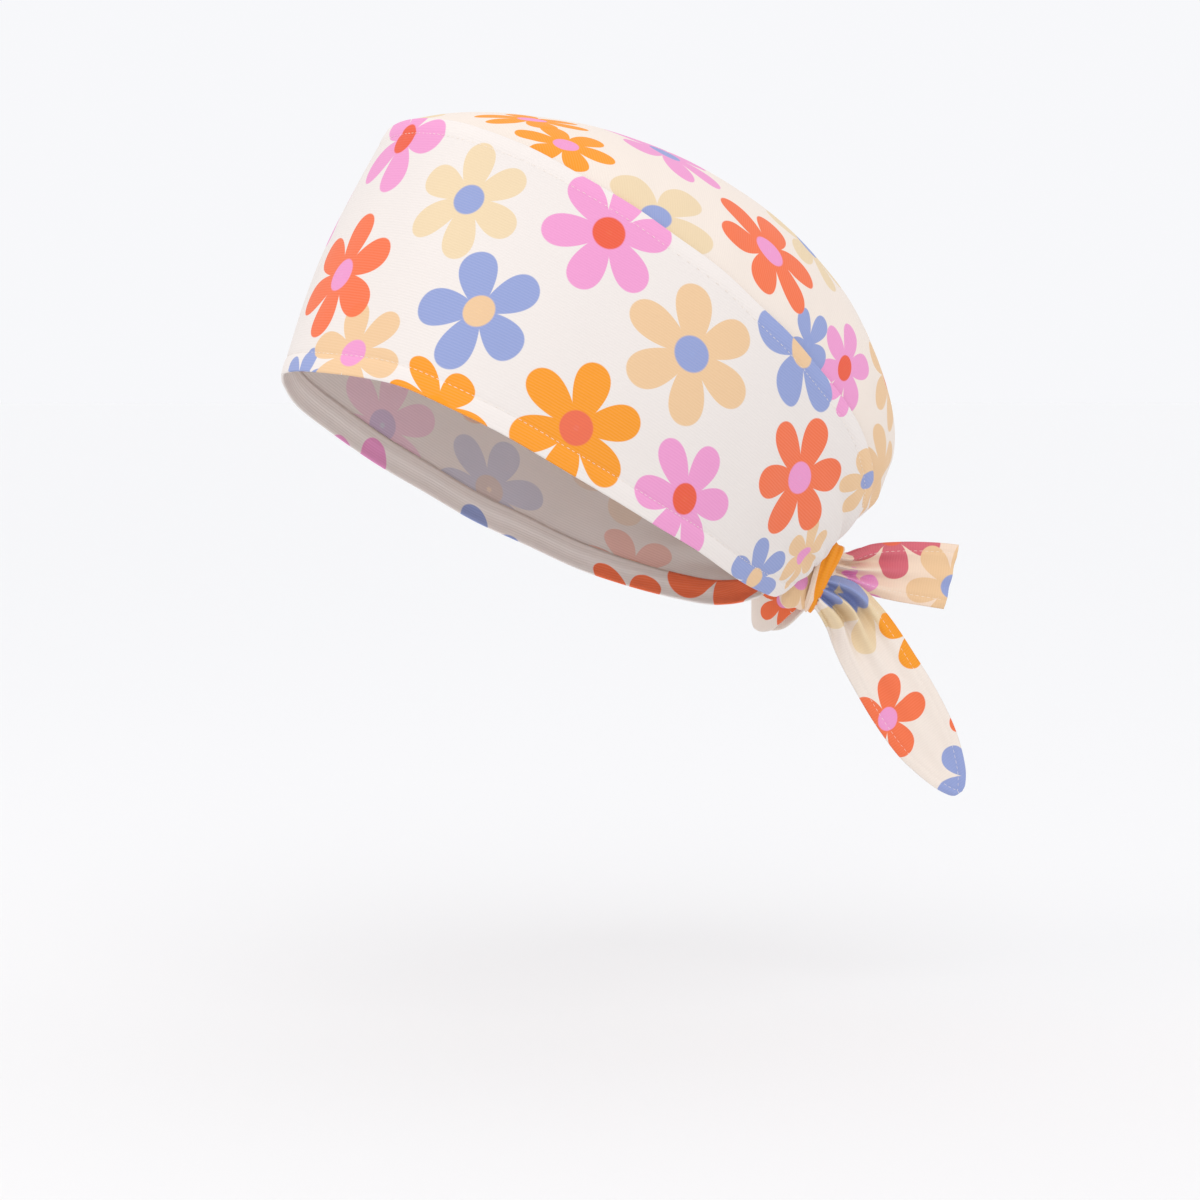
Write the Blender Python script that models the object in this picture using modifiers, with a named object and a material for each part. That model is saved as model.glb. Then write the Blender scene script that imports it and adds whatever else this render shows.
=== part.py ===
"""Tie-back scrub cap in its worn form.

Metres, +Z up. The wearer faces -Y and +X is the wearer's left. The origin is the centre of the head
opening, where the cap is seated on its wearer. The cap is a tall side band, a tongue-shaped crown set
into it, and a knot at the nape with one loop and two ends.
"""

import math
from collections import namedtuple

import bmesh
import bpy
from mathutils import Matrix, Vector

# Head opening and shell
HALF_WIDTH = 0.078
FRONT_REACH = 0.100
BACK_REACH = 0.180
CROWN_RISE = 0.156
NAPE_DROP = 0.042
FAR_NAPE_SAG = 0.006
BELLY = 0.008
CLOTH = 0.0012
SEAM_LAP = 0.006
CLEARANCE = 0.0006

# Gathers at the nape
GATHER_DEPTH = 0.002
GATHER_COUNT = 4

# Knot and ties
TIE_CLOTH = 0.0014
KNOT_TURN = math.radians(70)
KNOT_TILT = math.radians(-11)
CORE_LENGTH = 0.028
CORE_HEIGHT = 0.0235
CORE_DEPTH = 0.016
CORE_DROOP = 0.016
WRAP_WIDTH = 0.0078
WRAP_YAW = 0.0036
WRAP_THICKNESS = 0.0028
TAIL_ROOT_RISE = 0.0088
SHORT_TAIL_LENGTH = 0.052
SHORT_TAIL_WIDTH = 0.029
SHORT_TAIL_DROP = math.radians(3)
LONG_TAIL_LENGTH = 0.107
LONG_TAIL_WIDTH = 0.0325
LONG_TAIL_DROP = math.radians(58)
LOOP_LENGTH = 0.031
LOOP_WIDTH = 0.028
LOOP_FULLNESS = 0.006
LOOP_TURN = math.radians(203)

# Fineness of the faceted cloth
COLUMNS_PER_ROW = 3
BAND_STEPS = 8
TAIL_STEPS = 18
TAIL_COLUMNS = 10
LOOP_STEPS = 20
LOOP_COLUMNS = 5

# Shares of HALF_WIDTH for x; of FRONT_REACH where y is negative, else of BACK_REACH; of CROWN_RISE
# where z is positive, else of NAPE_DROP; of BELLY for belly. Rows run from the forehead to the nape.
BandRow = namedtuple("BandRow", "hem_x hem_y hem_z seam_x seam_y seam_z belly")
BAND_ROWS = (
    BandRow(0.000, -1.000, 0.335, 0.000, -0.490, 0.970, 0.20),
    BandRow(0.218, -0.975, 0.330, 0.179, -0.480, 0.966, 0.30),
    BandRow(0.436, -0.900, 0.318, 0.346, -0.453, 0.954, 0.50),
    BandRow(0.641, -0.810, 0.295, 0.487, -0.388, 0.932, 0.75),
    BandRow(0.821, -0.680, 0.244, 0.615, -0.220, 0.884, 0.90),
    BandRow(0.936, -0.480, 0.174, 0.731, -0.050, 0.818, 1.00),
    BandRow(0.994, -0.240, 0.087, 0.833, 0.078, 0.743, 1.00),
    BandRow(1.000, 0.000, 0.006, 0.897, 0.166, 0.673, 1.00),
    BandRow(0.962, 0.122, -0.238, 0.949, 0.277, 0.587, 0.95),
    BandRow(0.872, 0.239, -0.452, 0.962, 0.373, 0.500, 0.90),
    BandRow(0.744, 0.356, -0.679, 0.942, 0.467, 0.423, 0.85),
    BandRow(0.590, 0.456, -0.833, 0.885, 0.556, 0.346, 0.80),
    BandRow(0.449, 0.545, -0.940, 0.808, 0.667, 0.244, 0.70),
    BandRow(0.333, 0.611, -1.000, 0.705, 0.755, 0.141, 0.60),
    BandRow(0.256, 0.650, -1.000, 0.538, 0.828, 0.032, 0.40),
    BandRow(0.200, 0.685, -0.976, 0.333, 0.845, -0.238, 0.20),
    BandRow(0.125, 0.710, -0.929, 0.125, 0.820, -0.595, 0.00),
)
CORNER_ROW = 3
LAST_ROW = len(BAND_ROWS) - 1
CROWN_COLUMNS = 2 * CORNER_ROW * COLUMNS_PER_ROW + 2
CROWN_STEPS = (LAST_ROW - CORNER_ROW) * COLUMNS_PER_ROW + 1

# The crown's middle line from its front edge to the nape, a row for each band row behind the corner.
# The arc is the share of a half turn that the section spends between the middle and the seam.
RidgeRow = namedtuple("RidgeRow", "y z arc")
RIDGE_ROWS = (
    RidgeRow(-0.490, 0.970, 0.33),
    RidgeRow(-0.300, 0.994, 0.36),
    RidgeRow(-0.080, 1.000, 0.39),
    RidgeRow(0.100, 0.987, 0.41),
    RidgeRow(0.233, 0.958, 0.42),
    RidgeRow(0.367, 0.914, 0.43),
    RidgeRow(0.489, 0.856, 0.44),
    RidgeRow(0.611, 0.780, 0.46),
    RidgeRow(0.728, 0.680, 0.48),
    RidgeRow(0.839, 0.551, 0.50),
    RidgeRow(0.933, 0.372, 0.50),
    RidgeRow(0.994, 0.192, 0.50),
    RidgeRow(0.985, 0.019, 0.50),
    RidgeRow(0.844, -0.524, 0.45),
)

# The knot's centre in the same shares as the band.
KNOT_SHARES = (0.040, 0.828, -0.860)

# Each end of the tie. Along and rise are shares of its length; width, pleat and swing are shares
# of its width; turn is how far its crossways direction leans, in radians.
TailRow = namedtuple("TailRow", "along rise width pleat swing turn")
SHORT_TAIL_ROWS = (
    TailRow(0.00, 0.000, 0.26, 0.02, -0.03, 0.00),
    TailRow(0.12, 0.010, 0.42, 0.08, -0.08, 0.00),
    TailRow(0.32, 0.015, 0.74, 0.09, -0.12, 0.02),
    TailRow(0.55, 0.010, 0.89, 0.06, -0.06, 0.06),
    TailRow(0.80, 0.000, 0.97, 0.03, 0.00, 0.12),
    TailRow(1.00, -0.015, 1.00, 0.02, 0.02, 0.18),
)
LONG_TAIL_ROWS = (
    TailRow(0.00, 0.000, 0.20, 0.02, 0.05, -0.60),
    TailRow(0.08, 0.006, 0.51, 0.09, 0.16, -0.48),
    TailRow(0.23, 0.000, 0.85, 0.08, 0.18, -0.10),
    TailRow(0.42, -0.002, 0.95, 0.07, 0.16, 0.00),
    TailRow(0.56, 0.000, 0.96, 0.05, 0.13, 0.00),
    TailRow(0.71, 0.004, 0.89, 0.03, 0.09, 0.00),
    TailRow(0.82, 0.010, 0.74, 0.02, 0.05, 0.00),
    TailRow(0.92, 0.012, 0.51, 0.00, 0.03, 0.00),
    TailRow(0.98, 0.012, 0.28, 0.00, 0.01, 0.00),
    TailRow(1.00, 0.010, 0.12, 0.00, 0.00, 0.00),
)

# The loop out to its fold and back. Width is a share of its width, sag of its length.
LoopRow = namedtuple("LoopRow", "width sag")
LOOP_ROWS = (
    LoopRow(0.38, -0.04),
    LoopRow(0.66, 0.06),
    LoopRow(0.92, 0.18),
    LoopRow(0.90, 0.17),
    LoopRow(0.66, 0.08),
    LoopRow(0.90, 0.17),
    LoopRow(0.92, 0.18),
    LoopRow(0.66, 0.06),
    LoopRow(0.38, -0.04),
)


def smooth(rows, position):
    """Catmull-Rom reading of a table at a fractional row."""
    last = len(rows) - 1
    start = min(max(math.floor(position), 0), last - 1)
    part = position - start
    picked = [rows[min(max(start + step, 0), last)] for step in (-1, 0, 1, 2)]
    values = []
    for before, here, there, after in zip(*picked):
        slope = there - before
        bend = 2 * before - 5 * here + 4 * there - after
        twist = 3 * (here - there) + after - before
        values.append(here + 0.5 * (slope * part + bend * part**2 + twist * part**3))
    return values


def placed(x, y, z):
    """Point in metres from shares of the cap's named sizes."""
    reach = FRONT_REACH if y < 0 else BACK_REACH
    rise = CROWN_RISE if z > 0 else NAPE_DROP
    return Vector((x * HALF_WIDTH, y * reach, z * rise))


def band_lines():
    """Hem point, seam point and belly of each row in metres, from the far nape to the near one."""
    lines = []
    for side, rows in ((-1, BAND_ROWS[:0:-1]), (1, BAND_ROWS)):
        for row in rows:
            hem = placed(side * row.hem_x, row.hem_y, row.hem_z)
            if side < 0 and row.hem_z < 0:
                hem.z += FAR_NAPE_SAG * row.hem_z
            seam = placed(side * row.seam_x, row.seam_y, row.seam_z)
            if row is BAND_ROWS[-1]:
                hem.x = seam.x = side * (0.5 * CORE_DEPTH + CLOTH + CLEARANCE)
            lines.append((*hem, *seam, row.belly * BELLY))
    return lines


BAND_LINES = band_lines()


def gather(row, turns):
    """Depth of the nape's folds at a row, over a number of turns across them."""
    reach = min(max((row - 0.55 * LAST_ROW) / (0.45 * LAST_ROW), 0), 1)
    fade = 1 - max((row - 0.9 * LAST_ROW) / (0.1 * LAST_ROW), 0)
    return GATHER_DEPTH * reach**2 * fade * math.sin(2 * math.pi * turns)


def band_frame(row, height):
    """Band without its folds: outer point, outward direction, and length from hem to seam."""
    values = smooth(BAND_LINES, row + LAST_ROW)
    hem = Vector(values[0:3])
    seam = Vector(values[3:6])
    belly = values[6]
    ahead = smooth(BAND_LINES, row + LAST_ROW + 0.05)
    behind = smooth(BAND_LINES, row + LAST_ROW - 0.05)
    along = Vector(ahead[3:6]).lerp(Vector(ahead[0:3]), 1 - height)
    along = (along - Vector(behind[3:6]).lerp(Vector(behind[0:3]), 1 - height)).normalized()
    up = (seam - hem).normalized()
    out = along.cross(up).normalized()
    point = hem.lerp(seam, height) + out * belly * math.sin(math.pi * height)
    lean = belly * math.pi * math.cos(math.pi * height) / (seam - hem).length
    return point, (out - up * lean).normalized(), (seam - hem).length


def band_point(row, height):
    """Outer surface of the band: row from -LAST_ROW to LAST_ROW, height from 0 to 1."""
    point, out, _ = band_frame(row, height)
    depth = gather(abs(row), GATHER_COUNT * height) * math.sin(math.pi * height) ** 2
    return point + out * depth


def under_seam(row, lap):
    """Point under the band's upper edge, a lap below it, clear of the cloth."""
    height = band_frame(row, 1)[2]
    out = band_frame(row, 1 - lap / height)[1]
    return band_point(row, 1 - lap / height) - out * (CLOTH + CLEARANCE)


def crown_section(row, across):
    """Outer surface of the crown at a band row behind the corner; across runs from -1 to 1."""
    seam = under_seam(row, 0)
    y, z, arc = smooth(RIDGE_ROWS, row - CORNER_ROW)
    ridge = placed(0, y, z)
    limit = arc * math.pi
    angle = across * limit
    rise = (math.cos(angle) - math.cos(limit)) / (1 - math.cos(limit))
    point = seam.lerp(ridge, rise)
    point.x = seam.x * math.sin(angle) / math.sin(limit)
    outward = (ridge - Vector((0, seam.y, seam.z))).normalized()
    return point + outward * gather(row, GATHER_COUNT * across) * (1 - across**2)


def crown_point(column, step):
    """Outer surface of the crown: its rim lies under the band, and the next line at the seam."""
    half_step = 0.5 if step == 1 else step - 1
    row = CORNER_ROW + max(half_step, 0) / COLUMNS_PER_ROW
    if column in (0, CROWN_COLUMNS):
        return under_seam(math.copysign(row, column - 1), SEAM_LAP)
    across = 2 * (column - 1) / (CROWN_COLUMNS - 2) - 1
    if step == 0:
        inset = 0.5 / (CORNER_ROW * COLUMNS_PER_ROW)
        return under_seam(CORNER_ROW * min(max(across, inset - 1), 1 - inset), SEAM_LAP)
    if step == 1:
        return under_seam(CORNER_ROW * across, 0)
    return crown_section(row, across)


def knot_point(right, up, near):
    """World point from lengths along the knot's tilted axis, up across it and out from it."""
    tilted = Vector((
        right * math.cos(KNOT_TILT) - up * math.sin(KNOT_TILT),
        -near,
        right * math.sin(KNOT_TILT) + up * math.cos(KNOT_TILT),
    ))
    return placed(*KNOT_SHARES) + Matrix.Rotation(KNOT_TURN, 3, "Z") @ tilted


def tail_point(rows, length, width, drop, root, along, across):
    """Outer surface of a tie's end; along runs from 0 to 1 and across from -1 to 1."""
    position = along * (len(rows) - 1)
    share, rise, wide, pleat, swing, turn = smooth(rows, position)
    right = share * length
    up = rise * length
    fold = pleat * (math.cos(3 * math.pi * across) - 0.4 * across**2)
    offset = 0.5 * wide * width * across
    heading = drop + KNOT_TILT
    lean = heading + turn
    return knot_point(
        root[0] + right * math.cos(heading) + up * math.sin(heading) + offset * math.sin(lean),
        root[1] - right * math.sin(heading) + up * math.cos(heading) + offset * math.cos(lean),
        width * (swing + fold),
    )


def loop_point(along, across):
    """Outer surface of the loop; along runs out over the near side, round the fold and back."""
    wide, sag = smooth(LOOP_ROWS, along * (len(LOOP_ROWS) - 1))
    turn = 2 * math.pi * (0.07 + 0.86 * along)
    out = 0.5 * LOOP_LENGTH * (1 - math.cos(turn))
    side = LOOP_FULLNESS * math.sin(turn)
    rise = 0.5 * wide * LOOP_WIDTH * across - sag * LOOP_LENGTH
    direction = Matrix.Rotation(LOOP_TURN, 3, "Z")
    behind = 0.44 * CORE_DEPTH + TIE_CLOTH + CLEARANCE
    start = knot_point(0.04 * CORE_LENGTH, -0.25 * CORE_HEIGHT, -behind)
    return start + direction @ Vector((out, side, rise))


def cloth(name, columns, steps, place, wall):
    """Sheet of cloth: a grid laid on a surface, with its wall on the inner side."""
    shape = bmesh.new()
    bmesh.ops.create_grid(shape, x_segments=columns, y_segments=steps, size=0.5)
    for corner in shape.verts:
        column = round((corner.co.x + 0.5) * columns)
        step = round((corner.co.y + 0.5) * steps)
        corner.co = place(column, step)
    mesh = bpy.data.meshes.new(name)
    shape.to_mesh(mesh)
    shape.free()
    piece = bpy.data.objects.new(name, mesh)
    wall_maker = piece.modifiers.new("wall", "SOLIDIFY")
    wall_maker.thickness = wall
    wall_maker.offset = -1
    return piece


def side_band():
    """The band, from the far nape round the forehead to the near nape."""
    columns = 2 * LAST_ROW * COLUMNS_PER_ROW

    def place(column, step):
        return band_point(column / COLUMNS_PER_ROW - LAST_ROW, step / BAND_STEPS)

    return cloth("side_band", columns, BAND_STEPS, place, CLOTH)


def crown():
    """The crown, with its rim under the band's upper edge."""
    return cloth("crown", CROWN_COLUMNS, CROWN_STEPS, crown_point, CLOTH)


def core_share(right):
    """Width share of the core at a length along the knot's axis; the core ends with the wrap."""
    middle = WRAP_WIDTH - 0.5 * CORE_LENGTH
    return math.sqrt(1 - min(abs(right - middle) / (0.5 * CORE_LENGTH), 1) ** 2)


def knot_core():
    """The bundle of cloth that the wrap holds."""
    shape = bmesh.new()
    bmesh.ops.create_uvsphere(shape, u_segments=20, v_segments=12, radius=1)
    for corner in shape.verts:
        right = 0.5 * CORE_LENGTH * (corner.co.z - 1) + WRAP_WIDTH
        up = 0.5 * CORE_HEIGHT * corner.co.y - CORE_DROOP * max(-right / CORE_LENGTH, 0)
        corner.co = knot_point(right, up, 0.5 * CORE_DEPTH * corner.co.x)
    bmesh.ops.recalc_face_normals(shape, faces=shape.faces)
    mesh = bpy.data.meshes.new("knot_core")
    shape.to_mesh(mesh)
    shape.free()
    return bpy.data.objects.new("knot_core", mesh)


def knot_wrap():
    """The turn of cloth round the core."""
    thickness = 0.5 * WRAP_THICKNESS
    high = 0.5 * CORE_HEIGHT * core_share(0) + CLEARANCE + thickness
    deep = 0.5 * CORE_DEPTH * core_share(-WRAP_YAW) + CLEARANCE + thickness
    bpy.ops.mesh.primitive_torus_add(
        major_segments=28, minor_segments=10, major_radius=2, minor_radius=1
    )
    piece = bpy.context.object
    piece.name = "knot_wrap"
    piece.data.name = "knot_wrap"
    for corner in piece.data.vertices:
        x, y, z = corner.co
        around = math.hypot(x, y)
        over = (around - 2) * thickness
        right = 0.5 * WRAP_WIDTH * (1 + z) - WRAP_YAW * x / around
        corner.co = knot_point(right, (high + over) * y / around, (deep + over) * x / around)
    shape = bmesh.new()
    shape.from_mesh(piece.data)
    bmesh.ops.recalc_face_normals(shape, faces=shape.faces)
    shape.to_mesh(piece.data)
    shape.free()
    return piece


def tail(name, rows, length, width, drop, side):
    """One end of the tie, starting inside the wrap beside the other."""
    root = (WRAP_WIDTH, side * 0.5 * TAIL_ROOT_RISE)

    def place(column, step):
        across = 2 * column / TAIL_COLUMNS - 1
        return tail_point(rows, length, width, drop, root, step / TAIL_STEPS, across)

    return cloth(name, TAIL_COLUMNS, TAIL_STEPS, place, TIE_CLOTH)


def tie_loop():
    """The loop at the knot's far side."""

    def place(column, step):
        return loop_point(step / LOOP_STEPS, 2 * column / LOOP_COLUMNS - 1)

    return cloth("tie_loop", LOOP_COLUMNS, LOOP_STEPS, place, TIE_CLOTH)


def dye(piece, colour, roughness):
    """Give a piece its own cotton material."""
    material = bpy.data.materials.new(piece.name)
    material.use_nodes = True
    shader = material.node_tree.nodes["Principled BSDF"]
    shader.inputs["Base Color"].default_value = (*colour, 1)
    shader.inputs["Roughness"].default_value = roughness
    shader.inputs["Metallic"].default_value = 0
    piece.data.materials.clear()
    piece.data.materials.append(material)


def main():
    """Build the cap."""
    for piece in list(bpy.data.objects):
        bpy.data.objects.remove(piece, do_unlink=True)
    collection = bpy.data.collections.new("scrub_cap")
    bpy.context.scene.collection.children.link(collection)
    short = (SHORT_TAIL_ROWS, SHORT_TAIL_LENGTH, SHORT_TAIL_WIDTH, SHORT_TAIL_DROP, 1)
    long = (LONG_TAIL_ROWS, LONG_TAIL_LENGTH, LONG_TAIL_WIDTH, LONG_TAIL_DROP, -1)
    pieces = (
        (side_band(), (0.91, 0.86, 0.81)),
        (crown(), (0.91, 0.84, 0.76)),
        (knot_core(), (0.86, 0.70, 0.52)),
        (knot_wrap(), (0.96, 0.36, 0.06)),
        (tie_loop(), (0.88, 0.30, 0.15)),
        (tail("tail_short", *short), (0.90, 0.45, 0.42)),
        (tail("tail_long", *long), (0.91, 0.85, 0.78)),
    )
    for piece, colour in pieces:
        for holder in list(piece.users_collection):
            holder.objects.unlink(piece)
        collection.objects.link(piece)
        piece.data.shade_smooth()
        dye(piece, colour, 0.85)


if __name__ == "__main__":
    main()
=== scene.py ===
"""Studio scene of a tie-back scrub cap in printed cotton, worn form, knot at the nape.

Metres, +Z up, in the frame's axes: the wearer faces -Y and +X is the wearer's left. Each cloth piece is a
grid laid on its worn surface. The same grid laid flat is its cut, in millimetres, and the print lies on
that cut, so that its blooms keep their shape round the cap.
"""

import logging
import math
from dataclasses import dataclass, field
from enum import Enum
from typing import Any, Callable, NamedTuple, Sequence

import bmesh
import bpy
import numpy as np
from mathutils import Matrix, Vector, noise
from mathutils.bvhtree import BVHTree
from mathutils.geometry import barycentric_transform


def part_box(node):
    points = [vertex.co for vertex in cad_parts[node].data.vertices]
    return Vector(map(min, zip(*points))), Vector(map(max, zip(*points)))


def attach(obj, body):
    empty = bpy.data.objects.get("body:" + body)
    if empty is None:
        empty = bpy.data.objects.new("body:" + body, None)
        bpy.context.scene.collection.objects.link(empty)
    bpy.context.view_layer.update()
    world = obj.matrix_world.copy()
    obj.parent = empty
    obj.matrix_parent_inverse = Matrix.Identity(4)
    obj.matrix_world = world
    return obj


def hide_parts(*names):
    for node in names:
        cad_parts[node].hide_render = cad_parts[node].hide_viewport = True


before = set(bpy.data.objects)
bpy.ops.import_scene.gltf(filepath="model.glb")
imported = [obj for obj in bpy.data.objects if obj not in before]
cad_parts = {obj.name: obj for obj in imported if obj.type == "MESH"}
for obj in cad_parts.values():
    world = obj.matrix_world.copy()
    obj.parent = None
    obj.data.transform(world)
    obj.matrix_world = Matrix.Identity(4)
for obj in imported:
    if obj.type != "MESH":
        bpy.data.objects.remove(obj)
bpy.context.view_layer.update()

LOG = logging.getLogger("scrub_cap")
MM = 0.001
# A petal's outline, as shares of its bloom's radius.
PETAL_ROOT = 0.04
PETAL_BREADTH, PETAL_CROWDING = 2.34, 1.8
PETAL_NARROW, PETAL_WIDENING = 0.45, 0.72
# Bounds in millimetres for the petals of a bloom that is laid as it is seen.
LEAST_PETAL, GREATEST_PETAL = 14.0, 32.0
# How far a bloom counts, in radii, and the cover from which the blooms beyond that count down.
BLOOM_REACH, OUT_OF_REACH = 1.15, -10
# Least distance in millimetres between the near half's blooms and those carried over to the far half.
BAND_GAP, CROWN_GAP = 44, 42


class Dye(Enum):
    """Colours of the cloth and its print, as sRGB shares; two grounds also hold painted warm light and
    painted warm shade.
    """

    GROUND = (0.955, 0.925, 0.905)
    # Cream ground with painted warm light: the warm tint that light glowing through the cloth and bouncing
    # between its folds gives the crown, the loop and the long end.
    GROUND_WITH_PAINTED_WARM_LIGHT = (0.975, 0.925, 0.880)
    # Cream ground with painted warm shade: the peach of light bouncing between the folds of the knot and of
    # the short end.
    GROUND_WITH_PAINTED_WARM_SHADE = (0.985, 0.885, 0.795)
    PINK = (0.960, 0.625, 0.830)
    BLUE = (0.590, 0.650, 0.850)
    AMBER = (0.995, 0.620, 0.060)
    ORANGE = (0.985, 0.460, 0.270)
    SAND = (0.955, 0.800, 0.620)
    STRAW = (0.950, 0.855, 0.700)
    SCARLET = (0.950, 0.370, 0.220)
    CORAL = (0.950, 0.440, 0.320)
    ROSE = (0.870, 0.420, 0.480)
    THREAD = (0.970, 0.930, 0.890)

    def linear(self) -> tuple[float, float, float]:
        """The colour in the renderer's linear shares."""
        return tuple(((share + 0.055) / 1.055) ** 2.4 for share in self.value)


class Held(Enum):
    """How a piece of cloth is held in its worn form."""

    STRETCHED = "stretched"
    GATHERED = "gathered"
    FOLDED = "folded"
    HUNG = "hung"


class Bloom(NamedTuple):
    """A printed flower as it is seen, in picture points, and its dyes.

    The tips are of one petal and of the next one clockwise. Without the second, the flower is round on
    the cut.
    """

    x: float
    y: float
    tip_x: float
    tip_y: float
    petals: int
    petal: Dye
    eye: Dye
    next_x: float | None = None
    next_y: float | None = None


class Print(NamedTuple):
    """A printed flower on the flat cut, in millimetres.

    Along runs from its middle to a petal's tip, and aside is its reach a quarter turn on.
    """

    u: float
    v: float
    along: tuple[float, float]
    aside: tuple[float, float]
    petals: int
    petal: Dye
    eye: Dye

    @classmethod
    def laid(
        cls, u: float, v: float, radius: float, degrees: float, petals: int, petal: Dye, eye: Dye
    ) -> "Print":
        """A round flower, its first petal at an angle from the cut's width."""
        along = (radius * math.cos(math.radians(degrees)), radius * math.sin(math.radians(degrees)))
        return cls(u, v, along, (-along[1], along[0]), petals, petal, eye)


BAND_BLOOMS = tuple(Bloom(*row) for row in (
    (405, 139, 389, 191, 5, Dye.PINK, Dye.SCARLET, 366, 179),
    (469, 199, 485, 143, 6, Dye.STRAW, Dye.BLUE, 526, 177),
    (342, 275, 371, 214, 6, Dye.ORANGE, Dye.PINK, 391, 247),
    (353, 353, 358, 303, 6, Dye.SAND, Dye.PINK, 399, 316),
    (296, 385, 316, 348, 6, Dye.BLUE, Dye.SAND),
    (479, 311, 478, 252, 5, Dye.BLUE, Dye.SAND, 539, 285),
    (438, 409, 417, 356, 6, Dye.AMBER, Dye.AMBER, 470, 380),
    (609, 233, 541, 229, 6, Dye.PINK, Dye.SCARLET, 576, 178),
    (576, 428, 599, 364, 6, Dye.AMBER, Dye.CORAL, 640, 421),
    (692, 354, 694, 284, 6, Dye.SAND, Dye.BLUE, 748, 332),
    (685, 499, 666, 439, 6, Dye.PINK, Dye.SCARLET, 716, 450),
    (802, 351, 783, 401, 5, Dye.BLUE, Dye.SAND, 758, 322),
    (800, 478, 780, 424, 6, Dye.ORANGE, Dye.PINK, 822, 420),
    (754, 578, 764, 538, 6, Dye.BLUE, Dye.SAND, 786, 556),
    (849, 384, 840, 416, 6, Dye.PINK, Dye.PINK),
    (804, 556, 780, 577, 6, Dye.SAND, Dye.PINK, 793, 540),
    (868, 480, 846, 514, 6, Dye.SAND, Dye.BLUE, 841, 485),
))
CROWN_BLOOMS = tuple(Bloom(*row) for row in (
    (566, 145, 615, 163, 6, Dye.AMBER, Dye.PINK, 580, 172),
    (532, 120, 588, 131, 6, Dye.AMBER, Dye.PINK, 548, 129),
    (656, 217, 618, 176, 5, Dye.STRAW, Dye.BLUE, 694, 198),
    (665, 153, 720, 189, 6, Dye.PINK, Dye.BLUE, 685, 180),
    (770, 251, 723, 231, 6, Dye.ORANGE, Dye.PINK, 722, 198),
    (808, 345, 801, 309, 5, Dye.BLUE, Dye.BLUE),
    (845, 368, 828, 328, 6, Dye.PINK, Dye.SCARLET, 850, 325),
    (880, 474, 876, 424, 6, Dye.SAND, Dye.SAND, 892, 448),
))
CROWN_PRINTS = (
    Print.laid(39.0, 233.0, 23.0, 8.0, 6, Dye.SAND, Dye.SCARLET),
    Print.laid(38.0, 168.0, 24.0, 40.0, 6, Dye.STRAW, Dye.BLUE),
    Print.laid(0.0, 200.0, 24.0, 100.0, 5, Dye.PINK, Dye.SCARLET),
    Print.laid(-6.0, 133.0, 25.0, 20.0, 6, Dye.ORANGE, Dye.PINK),
    Print.laid(-50.0, 206.0, 23.0, 70.0, 5, Dye.BLUE, Dye.SAND),
    Print.laid(-6.0, 256.0, 23.0, 15.0, 6, Dye.AMBER, Dye.CORAL),
    Print.laid(-10.0, 8.0, 22.0, 50.0, 6, Dye.STRAW, Dye.BLUE),
)
SHORT_TAIL_BLOOMS = tuple(Bloom(*row) for row in (
    (950, 586, 906, 591, 6, Dye.SAND, Dye.BLUE),
    (892, 535, 893, 579, 5, Dye.ROSE, Dye.CORAL),
    (856, 594, 874, 580, 6, Dye.PINK, Dye.CORAL),
))
LONG_TAIL_BLOOMS = tuple(Bloom(*row) for row in (
    (918, 626, 907, 668, 5, Dye.AMBER, Dye.CORAL),
    (864, 602, 863, 654, 6, Dye.STRAW, Dye.STRAW),
    (888, 719, 890, 673, 5, Dye.ORANGE, Dye.PINK, 925, 700),
))
LONG_TAIL_PRINTS = (
    Print(13.0, -6.0, (-18.2, 13.7), (-5.3, -23.0), 5, Dye.BLUE, Dye.BLUE),
    Print.laid(9.4, 112.0, 18.3, -102.0, 5, Dye.BLUE, Dye.BLUE),
    Print.laid(27.0, 89.0, 14.0, -172.0, 5, Dye.ORANGE, Dye.PINK),
)
FAR_HEM_PRINT = Print.laid(-297.0, 26.0, 28.0, 90.0, 6, Dye.ORANGE, Dye.PINK)
LOOP_BLOOMS = tuple(Bloom(*row) for row in (
    (784, 600, 765, 613, 6, Dye.ORANGE, Dye.PINK),
))
CORE_BLOOMS = tuple(Bloom(*row) for row in (
    (800, 580, 790, 600, 6, Dye.SAND, Dye.PINK),
))

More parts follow.
